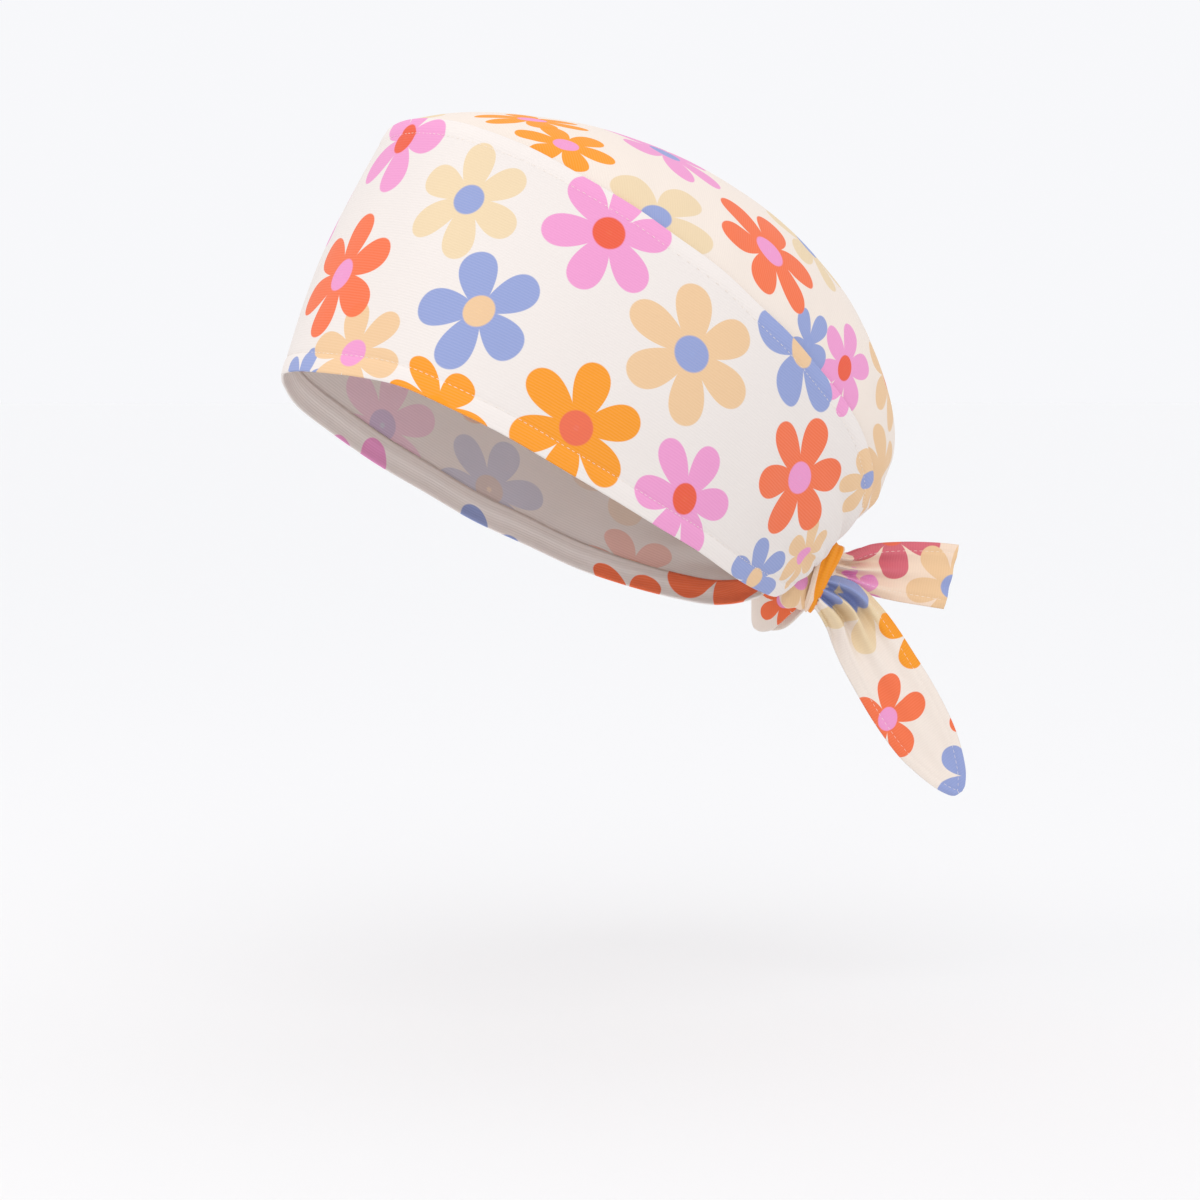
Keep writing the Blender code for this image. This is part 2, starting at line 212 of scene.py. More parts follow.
# Shares of half the width for x, of the front or back reach for y, of the rise or the drop for z, and of
# the belly. Rows run from the middle of the forehead to the nape, hem point and seam point of each.
BandRow = NamedTuple("BandRow", [(name, float) for name in (
    "hem_x", "hem_y", "hem_z", "seam_x", "seam_y", "seam_z", "belly")])
BAND_ROWS = tuple(BandRow(*row) for row in (
    (0.000, -1.000, 0.335, 0.000, -0.490, 0.970, 0.20),
    (0.218, -0.975, 0.330, 0.179, -0.480, 0.966, 0.30),
    (0.436, -0.900, 0.318, 0.346, -0.453, 0.954, 0.50),
    (0.641, -0.810, 0.295, 0.487, -0.388, 0.932, 0.75),
    (0.821, -0.680, 0.244, 0.615, -0.220, 0.884, 0.90),
    (0.936, -0.480, 0.174, 0.731, -0.050, 0.818, 1.00),
    (0.994, -0.240, 0.087, 0.833, 0.078, 0.743, 1.00),
    (1.000, 0.000, 0.006, 0.897, 0.166, 0.673, 1.00),
    (0.962, 0.122, -0.238, 0.949, 0.277, 0.587, 0.95),
    (0.872, 0.239, -0.452, 0.962, 0.373, 0.500, 0.90),
    (0.744, 0.356, -0.679, 0.942, 0.467, 0.423, 0.85),
    (0.590, 0.456, -0.833, 0.885, 0.556, 0.346, 0.80),
    (0.449, 0.545, -0.940, 0.808, 0.667, 0.244, 0.70),
    (0.333, 0.611, -1.000, 0.705, 0.755, 0.141, 0.60),
    (0.256, 0.650, -1.000, 0.538, 0.828, 0.032, 0.40),
    (0.200, 0.685, -0.976, 0.333, 0.845, -0.238, 0.20),
    (0.125, 0.710, -0.929, 0.125, 0.820, -0.595, 0.00),
))

# The crown's middle line in the same shares, a row for each band row behind its front corner. The arc is
# the share of a half turn between the middle and the seam.
RidgeRow = NamedTuple("RidgeRow", [("y", float), ("z", float), ("arc", float)])
RIDGE_ROWS = tuple(RidgeRow(*row) for row in (
    (-0.490, 0.970, 0.33),
    (-0.300, 0.994, 0.36),
    (-0.080, 1.000, 0.39),
    (0.100, 0.987, 0.41),
    (0.233, 0.958, 0.42),
    (0.367, 0.914, 0.43),
    (0.489, 0.856, 0.44),
    (0.611, 0.780, 0.46),
    (0.728, 0.680, 0.48),
    (0.839, 0.551, 0.50),
    (0.933, 0.372, 0.50),
    (0.994, 0.192, 0.50),
    (0.985, 0.019, 0.50),
    (0.844, -0.524, 0.45),
))

# Along and rise are shares of an end's length; width, pleat and swing are shares of its width; turn is how
# far its crossways direction leans, in radians.
TailRow = NamedTuple("TailRow", [(name, float) for name in (
    "along", "rise", "width", "pleat", "swing", "turn")])
SHORT_TAIL_ROWS = tuple(TailRow(*row) for row in (
    (0.00, 0.040, 0.42, 0.02, -0.03, 0.50),
    (0.12, 0.015, 0.48, 0.08, -0.08, 0.08),
    (0.32, 0.015, 0.76, 0.07, -0.12, 0.02),
    (0.55, 0.010, 0.90, 0.03, -0.06, 0.06),
    (0.80, 0.000, 0.97, 0.01, 0.00, 0.12),
    (1.00, -0.015, 1.00, 0.02, 0.02, 0.18),
))
LONG_TAIL_ROWS = tuple(TailRow(*row) for row in (
    (0.00, -0.008, 0.44, 0.05, 0.05, -0.76),
    (0.08, 0.006, 0.70, 0.11, 0.16, -0.40),
    (0.23, 0.000, 0.90, 0.05, 0.18, -0.08),
    (0.42, -0.002, 0.96, 0.02, 0.16, 0.00),
    (0.56, 0.000, 0.96, 0.01, 0.13, 0.00),
    (0.71, 0.004, 0.89, 0.01, 0.09, 0.00),
    (0.82, 0.010, 0.74, 0.01, 0.05, 0.00),
    (0.92, 0.012, 0.51, 0.00, 0.03, 0.00),
    (0.98, 0.012, 0.28, 0.00, 0.01, 0.00),
    (1.00, 0.010, 0.12, 0.00, 0.00, 0.00),
))

# The loop out to its fold and back. Width is a share of its width, sag of its length.
LoopRow = NamedTuple("LoopRow", [("width", float), ("sag", float)])
LOOP_ROWS = tuple(LoopRow(*row) for row in (
    (0.38, -0.04),
    (0.66, 0.06),
    (0.92, 0.18),
    (0.90, 0.17),
    (0.66, 0.08),
    (0.90, 0.17),
    (0.92, 0.18),
    (0.66, 0.06),
    (0.38, -0.04),
))


def smooth(rows: Sequence[Sequence[float]], position: float) -> list[float]:
    """Read a table at a fractional row on a Catmull-Rom curve.

    Args:
        rows: Table rows of equal length.
        position: Fractional row number, which may run a little past either end.

    Returns:
        The row's values there.
    """
    last = len(rows) - 1
    start = min(max(math.floor(position), 0), last - 1)
    part = position - start
    picked = [rows[min(max(start + step, 0), last)] for step in (-1, 0, 1, 2)]
    values = []
    for before, here, there, after in zip(*picked):
        slope = there - before
        bend = 2 * before - 5 * here + 4 * there - after
        twist = 3 * (here - there) + after - before
        values.append(here + 0.5 * (slope * part + bend * part**2 + twist * part**3))
    return values


def hump(value: float, middle: float, reach: float) -> float:
    """Soft bump of height 1 at a middle value, which fades over a reach."""
    return math.exp(-(((value - middle) / reach) ** 2))


@dataclass
class Viewpoint:
    """The camera's place: ahead on the wearer's left, a little above the hem, tipped slightly down."""

    azimuth: float = math.radians(58)
    aside: float = 0.0335
    distance: float = 1.281
    height: float = 0.040
    pitch: float = math.radians(-3.63)
    focal_points: float = 3139
    picture_points: float = 1200
    sensor_mm: float = 36.0

    def pose(self) -> Matrix:
        """Camera matrix: it looks level along its azimuth, then tips by its pitch."""
        across = Vector((math.cos(self.azimuth), math.sin(self.azimuth), 0))
        back = Vector((math.sin(self.azimuth), -math.cos(self.azimuth), 0))
        place = across * self.aside + back * self.distance + Vector((0, 0, self.height))
        level = Matrix((across, Vector((0, 0, 1)), back)).transposed().to_4x4()
        return Matrix.Translation(place) @ level @ Matrix.Rotation(self.pitch, 4, "X")

    def ray(self, x: float, y: float) -> tuple[Vector, Vector]:
        """Line of sight through a picture point.

        Args:
            x: Picture points from the left edge.
            y: Picture points from the top edge.

        Returns:
            The camera's place and the direction of sight.
        """
        pose = self.pose()
        middle = self.picture_points / 2
        local = Vector((x - middle, middle - y, -self.focal_points))
        return pose.translation, (pose.to_3x3() @ local).normalized()


@dataclass
class CapShape:
    """The worn shell's sizes, and its surface as a band row and a share of the height."""

    half_width: float = 0.078
    back_reach: float = 0.180
    nape_drop: float = 0.042
    far_nape_sag: float = 0.006
    belly: float = 0.008
    wall: float = 0.0012
    clearance: float = 0.0006
    seam_lap: float = 0.006
    gather_depth: float = 0.002
    gather_count: int = 4
    gather_start: float = 0.55
    gather_span: float = 0.45
    gather_end: float = 0.9
    gather_fade: float = 0.1
    core_depth: float = 0.016
    knot_share: tuple[float, float] = (0.828, 0.860)
    fold_reach: float = 0.075
    fold_depth: float = 0.0016
    fold_onset: float = 0.2
    fold_count: int = 10
    fine_fold_count: int = 23
    fine_fold_share: float = 0.3
    fine_fold_slant: float = 9 * MM
    slope_step: float = 0.05
    corner_row: int = 3
    front_reach: float = field(init=False)
    crown_rise: float = field(init=False)
    last_row: int = field(init=False)
    lines: list[tuple[float, ...]] = field(init=False)

    def __post_init__(self) -> None:
        """Take the reach and the rise from the frame, and place the hem and seam lines."""
        self.front_reach = -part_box("side_band")[0].y
        self.crown_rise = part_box("crown")[1].z
        self.last_row = len(BAND_ROWS) - 1
        self.lines = self.band_lines()

    def placed(self, x: float, y: float, z: float) -> Vector:
        """Point in metres from shares of the cap's sizes."""
        reach = self.front_reach if y < 0 else self.back_reach
        rise = self.crown_rise if z > 0 else self.nape_drop
        return Vector((x * self.half_width, y * reach, z * rise))

    def band_lines(self) -> list[tuple[float, ...]]:
        """Hem point, seam point and belly of each row, from the far nape to the near one."""
        lines = []
        for side, rows in ((-1, BAND_ROWS[:0:-1]), (1, BAND_ROWS)):
            for row in rows:
                hem = self.placed(side * row.hem_x, row.hem_y, row.hem_z)
                if side < 0 and row.hem_z < 0:
                    hem.z += self.far_nape_sag * row.hem_z
                seam = self.placed(side * row.seam_x, row.seam_y, row.seam_z)
                if row is BAND_ROWS[-1]:
                    hem.x = seam.x = side * (0.5 * self.core_depth + self.wall + self.clearance)
                lines.append((*hem, *seam, row.belly * self.belly))
        return lines

    def gather(self, row: float, turns: float) -> float:
        """Depth of the nape's folds at a row, over a number of turns across them."""
        last = self.last_row
        reach = min(max((row - self.gather_start * last) / (self.gather_span * last), 0), 1)
        fade = 1 - max((row - self.gather_end * last) / (self.gather_fade * last), 0)
        return self.gather_depth * reach**2 * fade * math.sin(2 * math.pi * turns)

    def band_frame(self, row: float, height: float) -> tuple[Vector, Vector, float]:
        """The band without its folds.

        Args:
            row: Band row, below 0 on the far side.
            height: Share of the way from the hem to the seam.

        Returns:
            The outer point, the outward direction and the length from hem to seam.
        """
        values = smooth(self.lines, row + self.last_row)
        hem = Vector(values[0:3])
        seam = Vector(values[3:6])
        belly = values[6]
        ahead = smooth(self.lines, row + self.last_row + self.slope_step)
        behind = smooth(self.lines, row + self.last_row - self.slope_step)
        along = Vector(ahead[3:6]).lerp(Vector(ahead[0:3]), 1 - height)
        along = (along - Vector(behind[3:6]).lerp(Vector(behind[0:3]), 1 - height)).normalized()
        up = (seam - hem).normalized()
        out = along.cross(up).normalized()
        point = hem.lerp(seam, height) + out * belly * math.sin(math.pi * height)
        lean = belly * math.pi * math.cos(math.pi * height) / (seam - hem).length
        return point, (out - up * lean).normalized(), (seam - hem).length

    def band_point(self, row: float, height: float) -> Vector:
        """Outer surface of the band with its folds."""
        point, out, _ = self.band_frame(row, height)
        depth = self.gather(abs(row), self.gather_count * height) * math.sin(math.pi * height) ** 2
        return point + out * depth

    def nape_fold(self, point: Vector) -> float:
        """Height of the small folds that run into the knot, at a point of the shell."""
        ahead = point.y - self.knot_share[0] * self.back_reach
        above = point.z + self.knot_share[1] * self.nape_drop
        apart = math.hypot(ahead, above)
        turn = math.atan2(above, -ahead)
        fade = max(1 - apart / self.fold_reach, 0) * min(apart / (self.fold_onset * self.fold_reach), 1)
        ridges = math.sin(self.fold_count * turn + 2 * math.sin(3 * turn))
        ridges += self.fine_fold_share * math.sin(self.fine_fold_count * turn + apart / self.fine_fold_slant)
        return self.fold_depth * fade * ridges

    def under_seam(self, row: float, lap: float) -> Vector:
        """Point under the band's upper edge, a lap below it, clear of the cloth."""
        height = self.band_frame(row, 1)[2]
        out = self.band_frame(row, 1 - lap / height)[1]
        return self.band_point(row, 1 - lap / height) - out * (self.wall + self.clearance)

    def crown_point(self, across: float, along: float) -> Vector:
        """Outer surface of the crown; across runs from -1 to 1 and along from 0 to 1 at the nape."""
        row = self.corner_row + along * (self.last_row - self.corner_row)
        if along <= 0:
            seam = self.under_seam(self.corner_row * across, 0)
            return seam + Vector((0, along * self.front_reach, 0))
        seam = self.under_seam(row, 0)
        y, z, arc = smooth(RIDGE_ROWS, row - self.corner_row)
        ridge = self.placed(0, y, z)
        limit = arc * math.pi
        angle = across * limit
        rise = (math.cos(angle) - math.cos(limit)) / (1 - math.cos(limit))
        point = seam.lerp(ridge, rise)
        point.x = seam.x * math.sin(angle) / math.sin(limit)
        outward = (ridge - Vector((0, seam.y, seam.z))).normalized()
        return point + outward * self.gather(row, self.gather_count * across) * (1 - across**2)


@dataclass
class KnotShape:
    """The knot's sizes and axes, and the surface of its loop."""

    cap: CapShape
    centre: tuple[float, float, float] = (0.040, 0.828, -0.860)
    turn: float = math.radians(70)
    tilt: float = math.radians(-11)
    cloth: float = 0.0014
    core_length: float = 0.028
    core_height: float = 0.0235
    core_droop: float = 0.016
    wrap_width: float = 0.0078
    wrap_thickness: float = 0.0028
    loop_length: float = 0.031
    loop_width: float = 0.028
    loop_fullness: float = 0.006
    loop_turn: float = math.radians(203)
    loop_start: float = 0.07
    loop_sweep: float = 0.86

    def point(self, right: float, up: float, near: float) -> Vector:
        """World point from lengths along the knot's tilted axis, up across it and out from it."""
        tilted = Vector((
            right * math.cos(self.tilt) - up * math.sin(self.tilt),
            -near,
            right * math.sin(self.tilt) + up * math.cos(self.tilt),
        ))
        return self.cap.placed(*self.centre) + Matrix.Rotation(self.turn, 3, "Z") @ tilted

    def loop_point(self, across: float, along: float) -> Vector:
        """Outer surface of the loop, out over the near side, round the fold and back."""
        wide, sag = smooth(LOOP_ROWS, along * (len(LOOP_ROWS) - 1))
        turn = 2 * math.pi * (self.loop_start + self.loop_sweep * along)
        out = 0.5 * self.loop_length * (1 - math.cos(turn))
        side = self.loop_fullness * math.sin(turn)
        rise = 0.5 * wide * self.loop_width * across - sag * self.loop_length
        behind = 0.44 * self.cap.core_depth + self.cloth + self.cap.clearance
        start = self.point(0.04 * self.core_length, -0.25 * self.core_height, -behind)
        return start + Matrix.Rotation(self.loop_turn, 3, "Z") @ Vector((out, side, rise))


def operator(operation: str, swapped: bool = False) -> Callable[["Wire", Any], "Wire"]:
    """Make one of a wire's operators.

    Args:
        operation: The Math node's operation.
        swapped: Whether the wire is the second input, after a number on the left.

    Returns:
        The operator's method.
    """

    def method(wire: "Wire", other: Any) -> "Wire":
        """Add the operation's Math node."""
        return wire.math(operation, *((other, wire) if swapped else (wire, other)))

    return method


class Wire:
    """A node socket that adds Math nodes where it is used in an expression."""

    def __init__(self, recipe: "Recipe", socket: bpy.types.NodeSocket) -> None:
        """Keep the socket and the recipe whose tree it is in."""
        self.recipe = recipe
        self.socket = socket

    def math(self, operation: str, *values: Any) -> "Wire":
        """Add one Math node.

        Args:
            operation: The Math node's operation.
            values: Its inputs, wires or numbers.

        Returns:
            The node's value.
        """
        return self.recipe.node("ShaderNodeMath", {"operation": operation}, dict(enumerate(values)))

    __add__ = operator("ADD")
    __radd__ = operator("ADD", swapped=True)
    __sub__ = operator("SUBTRACT")
    __rsub__ = operator("SUBTRACT", swapped=True)
    __mul__ = operator("MULTIPLY")
    __rmul__ = operator("MULTIPLY", swapped=True)
    __truediv__ = operator("DIVIDE")
    __rtruediv__ = operator("DIVIDE", swapped=True)
    __pow__ = operator("POWER")

    def clamped(self) -> "Wire":
        """Held between 0 and 1."""
        return self.recipe.node("ShaderNodeClamp", {}, {"Value": self})

    def edge(self, sharpness: float) -> "Wire":
        """1 above zero and 0 below it, over a narrow ramp."""
        return (self * sharpness + 0.5).clamped()


class Recipe:
    """A material's node tree, built from expressions."""

    def __init__(self, name: str) -> None:
        """Start a material with one Principled shader."""
        self.material = bpy.data.materials.new(name)
        self.material.use_nodes = True
        self.nodes = self.material.node_tree.nodes
        self.links = self.material.node_tree.links
        self.shader = self.nodes["Principled BSDF"]

    def node(self, kind: str, settings: dict[str, Any], sockets: dict[Any, Any], out: Any = 0) -> Wire:
        """Add a node.

        Args:
            kind: The node's type.
            settings: Its properties, which are set first.
            sockets: Its inputs by name or number, wires or plain values.
            out: The output that is used, by name or number.

        Returns:
            The output as a wire.
        """
        made = self.nodes.new(kind)
        for key, value in settings.items():
            setattr(made, key, value)
        for key, value in sockets.items():
            self.feed(made.inputs[key], value)
        return Wire(self, made.outputs[out])

    def feed(self, socket: bpy.types.NodeSocket, value: Any) -> None:
        """Link a wire to a socket, or set its plain value."""
        if isinstance(value, Wire):
            self.links.new(value.socket, socket)
        else:
            socket.default_value = value

    def shade(self, **sockets: Any) -> None:
        """Feed the Principled shader's sockets, named with _ for a space."""
        for key, value in sockets.items():
            self.feed(self.shader.inputs[key.replace("_", " ")], value)

    def mixed(self, share: Any, first: Any, second: Any) -> Wire:
        """Colour between two colours by a share."""
        sockets = {0: share, 6: first, 7: second}
        return self.node("ShaderNodeMix", {"data_type": "RGBA"}, sockets, out=2)

    def scaled(self, colour: Any, share: Wire) -> Wire:
        """Colour times a share."""
        return self.node("ShaderNodeVectorMath", {"operation": "SCALE"}, {0: colour, "Scale": share})

    def attribute(self, name: str, out: str) -> Wire:
        """One of the mesh's own attributes."""
        return self.node("ShaderNodeAttribute", {"attribute_name": name}, {}, out)

    def speckle(self, scale: float, detail: float) -> Wire:
        """Noise in the piece's own space."""
        place = self.node("ShaderNodeTexCoord", {}, {}, "Object")
        return self.node("ShaderNodeTexNoise", {}, {"Vector": place, "Scale": scale, "Detail": detail})

    def axes(self, vector: Wire) -> tuple[Wire, Wire, Wire]:
        """The three parts of a vector."""
        first = self.node("ShaderNodeSeparateXYZ", {}, {0: vector})
        outputs = first.socket.node.outputs
        return tuple(Wire(self, outputs[number]) for number in range(3))


@dataclass(frozen=True)
class PrintedCotton:
    """Ribbed cotton with a print of round-petalled blooms."""

    name: str
    ground: Dye = Dye.GROUND
    fade: float = 0.0
    tone: float = 0.85
    rib_pitch_mm: float = 1.15
    rib_relief: float = 0.16
    relief_depth: float = 0.3 * MM
    drift_scale: float = 60.0
    slub_scale: float = 900.0
    rib_bare: float = 0.045
    eye_share: float = 0.255
    sharpness: float = 14.0

    def petals(self, recipe: Recipe, order: str) -> tuple[Wire, Wire]:
        """Draw the nearest or the next bloom of each face.

        Args:
            recipe: The material's recipe.
            order: "near" or "next", the start of the map's and attributes' names.

        Returns:
            The masks of the petals and of the eye.
        """
        u, v, _ = recipe.axes(recipe.node("ShaderNodeUVMap", {"uv_map": order + "_bloom"}, {}))
        count = recipe.attribute(order + "_petals", "Fac")
        radius = (u * u + v * v) ** 0.5
        turns = v.math("ARCTAN2", v, u) * count / (2 * math.pi)
        fold = (turns + 0.5).math("FRACT", turns + 0.5) - 0.5
        angle = fold * (2 * math.pi) / count
        along = radius * angle.math("COSINE", angle)
        aside = radius * angle.math("SINE", angle)
        cover = petal_cover(along, aside, count)
        return cover.edge(self.sharpness), (self.eye_share - radius).edge(3 * self.sharpness)

    def material(self) -> bpy.types.Material:
        """Build the finish.

        Returns:
            The material, which reads the maps of the cut and of the blooms, and the blooms' attributes.
        """
        recipe = Recipe(self.name)
        u, v, _ = recipe.axes(recipe.node("ShaderNodeUVMap", {"uv_map": "cut"}, {}))
        drift = recipe.speckle(self.drift_scale, 2.0)
        slub = recipe.speckle(self.slub_scale, 3.0)
        wave = (v + 0.8 * drift) * (2 * math.pi / self.rib_pitch_mm)
        rib = 0.5 + 0.5 * wave.math("SINE", wave)
        dyed = (*self.ground.linear(), 1)
        for order in ("next", "near"):
            petal, eye = self.petals(recipe, order)
            taken = (1 - self.fade) * (1 - self.rib_bare * rib)
            dyed = recipe.mixed(petal * taken, dyed, recipe.attribute(order + "_petal_dye", "Color"))
            dyed = recipe.mixed(eye * taken, dyed, recipe.attribute(order + "_eye_dye", "Color"))
        doubled = recipe.attribute("doubled", "Fac")
        tone = self.tone + 0.025 * rib + 0.02 * slub + 0.03 * doubled
        recipe.shade(
            Base_Color=recipe.scaled(dyed, tone),
            Roughness=0.78 + 0.10 * slub,
            Normal=recipe.node(
                "ShaderNodeBump",
                {},
                {
                    "Height": rib * 0.8 + slub * 0.2,
                    "Strength": self.rib_relief,
                    "Distance": self.relief_depth,
                },
            ),
            Sheen_Weight=0.06,
            Sheen_Roughness=0.5,
        )
        return recipe.material


@dataclass(frozen=True)
class SewingThread:
    """Matt twisted thread."""

    name: str = "sewing_thread"
    dye: Dye = Dye.THREAD
    twist_scale: float = 2500.0

    def material(self) -> bpy.types.Material:
        """Build the finish."""
        recipe = Recipe(self.name)
        tone = 0.9 + 0.1 * recipe.speckle(self.twist_scale, 1.0)
        recipe.shade(Base_Color=recipe.scaled(self.dye.linear(), tone), Roughness=0.7)
        return recipe.material


@dataclass(frozen=True)
class StudioPaper:
    """Plain pale paper for the floor."""

    name: str = "studio_paper"
    grey: float = 0.86

    def material(self) -> bpy.types.Material:
        """Build the finish."""
        recipe = Recipe(self.name)
        recipe.shade(Base_Color=(self.grey, self.grey, self.grey, 1), Roughness=0.9)
        return recipe.material


def petal_cover(along: Any, aside: Any, count: Any) -> Any:
    """How deep a spot lies in a petal.

    Args:
        along: Share of the bloom's radius along the petal, a wire or an array.
        aside: Share of the radius across the petal.
        count: Petals of the bloom.

    Returns:
        1 in the petal's middle, 0 on its edge and less outside it.
    """
    middle = 0.5 * (1 + PETAL_ROOT)
    reach = 0.5 * (1 - PETAL_ROOT)
    breadth = PETAL_BREADTH / (count + PETAL_CROWDING) * (PETAL_NARROW + PETAL_WIDENING * along)
    return 1 - ((along - middle) / reach) ** 2 - (aside / breadth) ** 2


def ends(grid: np.ndarray, p_step: int, q_step: int) -> tuple[np.ndarray, np.ndarray]:
    """Both ends of every link of one kind in a grid.

    Args:
        grid: Values at the grid's corners.
        p_step: Columns from one end to the other.
        q_step: Rows from one end to the other, which may be below 0.

    Returns:
        Views of the first and the second ends.
    """
    columns, rows = grid.shape[:2]
    first = grid[: columns - p_step, max(-q_step, 0): rows - max(q_step, 0)]
    second = grid[p_step:, max(q_step, 0): rows + min(q_step, 0)]
    return first, second


def sampled(grid: np.ndarray, p: np.ndarray, q: np.ndarray) -> np.ndarray:
    """Read a grid between its corners.

    Args:
        grid: Values at the corners.
        p: Fractional column numbers.
        q: Fractional row numbers.

    Returns:
        The values there.
    """
    column = np.clip(np.floor(p).astype(int), 0, grid.shape[0] - 2)
    row = np.clip(np.floor(q).astype(int), 0, grid.shape[1] - 2)
    right = (p - column)[..., None]
    up = (q - row)[..., None]
    low = grid[column, row] * (1 - right) + grid[column + 1, row] * right
    high = grid[column, row + 1] * (1 - right) + grid[column + 1, row + 1] * right
    return low * (1 - up) + high * up


class Cut:
    """A piece's flat cut: its surface on a grid of p and q, and the same grid laid flat in millimetres."""

    LINKS = ((1, 0), (0, 1), (1, 1), (1, -1))
    SKIPS = (8, 4, 2, 1)
    ROUNDS = 250
    STEP = 0.22
    SHORTEST = 1e-6

    def __init__(
        self,
        surface: Callable[[float, float], Vector],
        p_range: tuple[float, float],
        q_range: tuple[float, float],
        columns: int,
        rows: int,
    ) -> None:
        """Lay the surface flat, from a coarse grid to a fine one.

        Args:
            surface: Point in metres at p and q.
            p_range: First and last p, across the piece.
            q_range: First and last q, along the piece.
            columns: Cells across, a multiple of 8.
            rows: Cells along, a multiple of 8.
        """
        self.p_range = p_range
        self.q_range = q_range
        self.worn = np.array([
            [surface(p, q) for q in np.linspace(*q_range, rows + 1)]
            for p in np.linspace(*p_range, columns + 1)
        ]) / MM
        self.flat = self.laid_flat()
        self.turn_upright()

    def laid_flat(self) -> np.ndarray:
        """Relax the grid's links to their worn lengths, four times, each on a finer grid."""
        flat = None
        for skip in self.SKIPS:
            worn = self.worn[::skip, ::skip]
            if flat is None:
                across = np.linalg.norm(np.diff(worn, axis=0), axis=2).mean()
                along = np.linalg.norm(np.diff(worn, axis=1), axis=2).mean()
                p, q = np.indices(worn.shape[:2])
                flat = np.stack((p * across, q * along), axis=2).astype(float)
            else:
                p, q = np.indices(worn.shape[:2]) / 2
                flat = sampled(flat, p, q)
            flat = self.relaxed(flat, worn)
        return flat

    def relaxed(self, flat: np.ndarray, worn: np.ndarray) -> np.ndarray:
        """Pull each link of a flat grid towards its worn length.

        Args:
            flat: Places on the cut.
            worn: Places on the worn surface.

        Returns:
            The better places.
        """
        wanted = []
        for link in self.LINKS:
            first, second = ends(worn, *link)
            wanted.append(np.linalg.norm(second - first, axis=2))
        for _ in range(self.ROUNDS):
            push = np.zeros_like(flat)
            for link, want in zip(self.LINKS, wanted):
                first, second = ends(flat, *link)
                gap = second - first
                length = np.maximum(np.linalg.norm(gap, axis=2), self.SHORTEST)
                pull = gap * (0.5 * (length - want) / length)[..., None]
                push_first, push_second = ends(push, *link)
                push_first += pull
                push_second -= pull
            flat = flat + self.STEP * push
        return flat

    def turn_upright(self) -> None:
        """Put the origin on the middle of p at the first q, with q running up from it."""
        low = self.at(0.5 * sum(self.p_range), self.q_range[0])
        high = self.at(0.5 * sum(self.p_range), self.q_range[1])
        up = (high - low) / np.linalg.norm(high - low)
        turned = np.array(((up[1], -up[0]), (up[0], up[1])))
        self.flat = (self.flat - low) @ turned.T

    def at(self, p: float | np.ndarray, q: float | np.ndarray) -> np.ndarray:
        """Place on the cut at p and q."""
        columns, rows = self.flat.shape[0] - 1, self.flat.shape[1] - 1
        column = (np.asarray(p, float) - self.p_range[0]) / (self.p_range[1] - self.p_range[0]) * columns
        row = (np.asarray(q, float) - self.q_range[0]) / (self.q_range[1] - self.q_range[0]) * rows
        return sampled(self.flat, column, row)

    def petal(self, root: tuple[float, float], tip: tuple[float, float], breadth: float, dye: Dye) -> Print:
        """Single petal of one dye, with its root at one place of the grid and its tip at another."""
        middle = self.at(*root)
        along = self.at(*tip) - middle
        return Print(*middle, tuple(along), (-breadth * along[1], breadth * along[0]), 1, dye, dye)

    def printed(self, view: Viewpoint, blooms: Sequence[Bloom]) -> list[Print]:
        """Lay seen blooms on the cut, where the lines of sight through them meet the worn piece.

        Args:
            view: The camera's place.
            blooms: The blooms as they are seen.

        Returns:
            The blooms on the cut.
        """
        corners = [Vector(place) * MM for place in self.worn.reshape(-1, 3)]
        spots = [Vector((*place, 0)) for place in self.flat.reshape(-1, 2)]
        columns, rows = self.flat.shape[:2]
        halves = []
        for column in range(columns - 1):
            for row in range(rows - 1):
                first = column * rows + row
                halves.append((first, first + rows, first + rows + 1))
                halves.append((first, first + rows + 1, first + 1))
        tree = BVHTree.FromPolygons(corners, halves)

        def spot(x: float, y: float) -> Vector | None:
            """Place on the cut behind a picture point."""
            place, _, index, _ = tree.ray_cast(*view.ray(x, y))
            if place is None:
                return None
            half = halves[index]
            return barycentric_transform(place, *(corners[i] for i in half), *(spots[i] for i in half))

        prints = []
        for bloom in blooms:
            middle = spot(bloom.x, bloom.y)
            tip = spot(bloom.tip_x, bloom.tip_y)
            if middle is None or tip is None:
                LOG.warning("bloom at %s, %s is off its piece", bloom.x, bloom.y)
                continue
            along = tip - middle
            aside = Vector((-along.y, along.x, 0))
            second = spot(bloom.next_x, bloom.next_y) if bloom.next_x is not None else None
            if second is not None:
                step = 2 * math.pi / bloom.petals
                aside = (along * math.cos(step) - (second - middle)) / math.sin(step)
            for petal in (along, aside):
                petal.length = min(max(petal.length, LEAST_PETAL), GREATEST_PETAL)
            prints.append(Print(middle.x, middle.y, tuple(along[:2]), tuple(aside[:2]), *bloom[4:7]))
        return prints


NEXT_DYE = {
    Dye.PINK: Dye.BLUE,
    Dye.BLUE: Dye.ORANGE,
    Dye.ORANGE: Dye.SAND,
    Dye.SAND: Dye.AMBER,
    Dye.STRAW: Dye.PINK,
    Dye.AMBER: Dye.PINK,
    Dye.SCARLET: Dye.SAND,
    Dye.CORAL: Dye.BLUE,
}


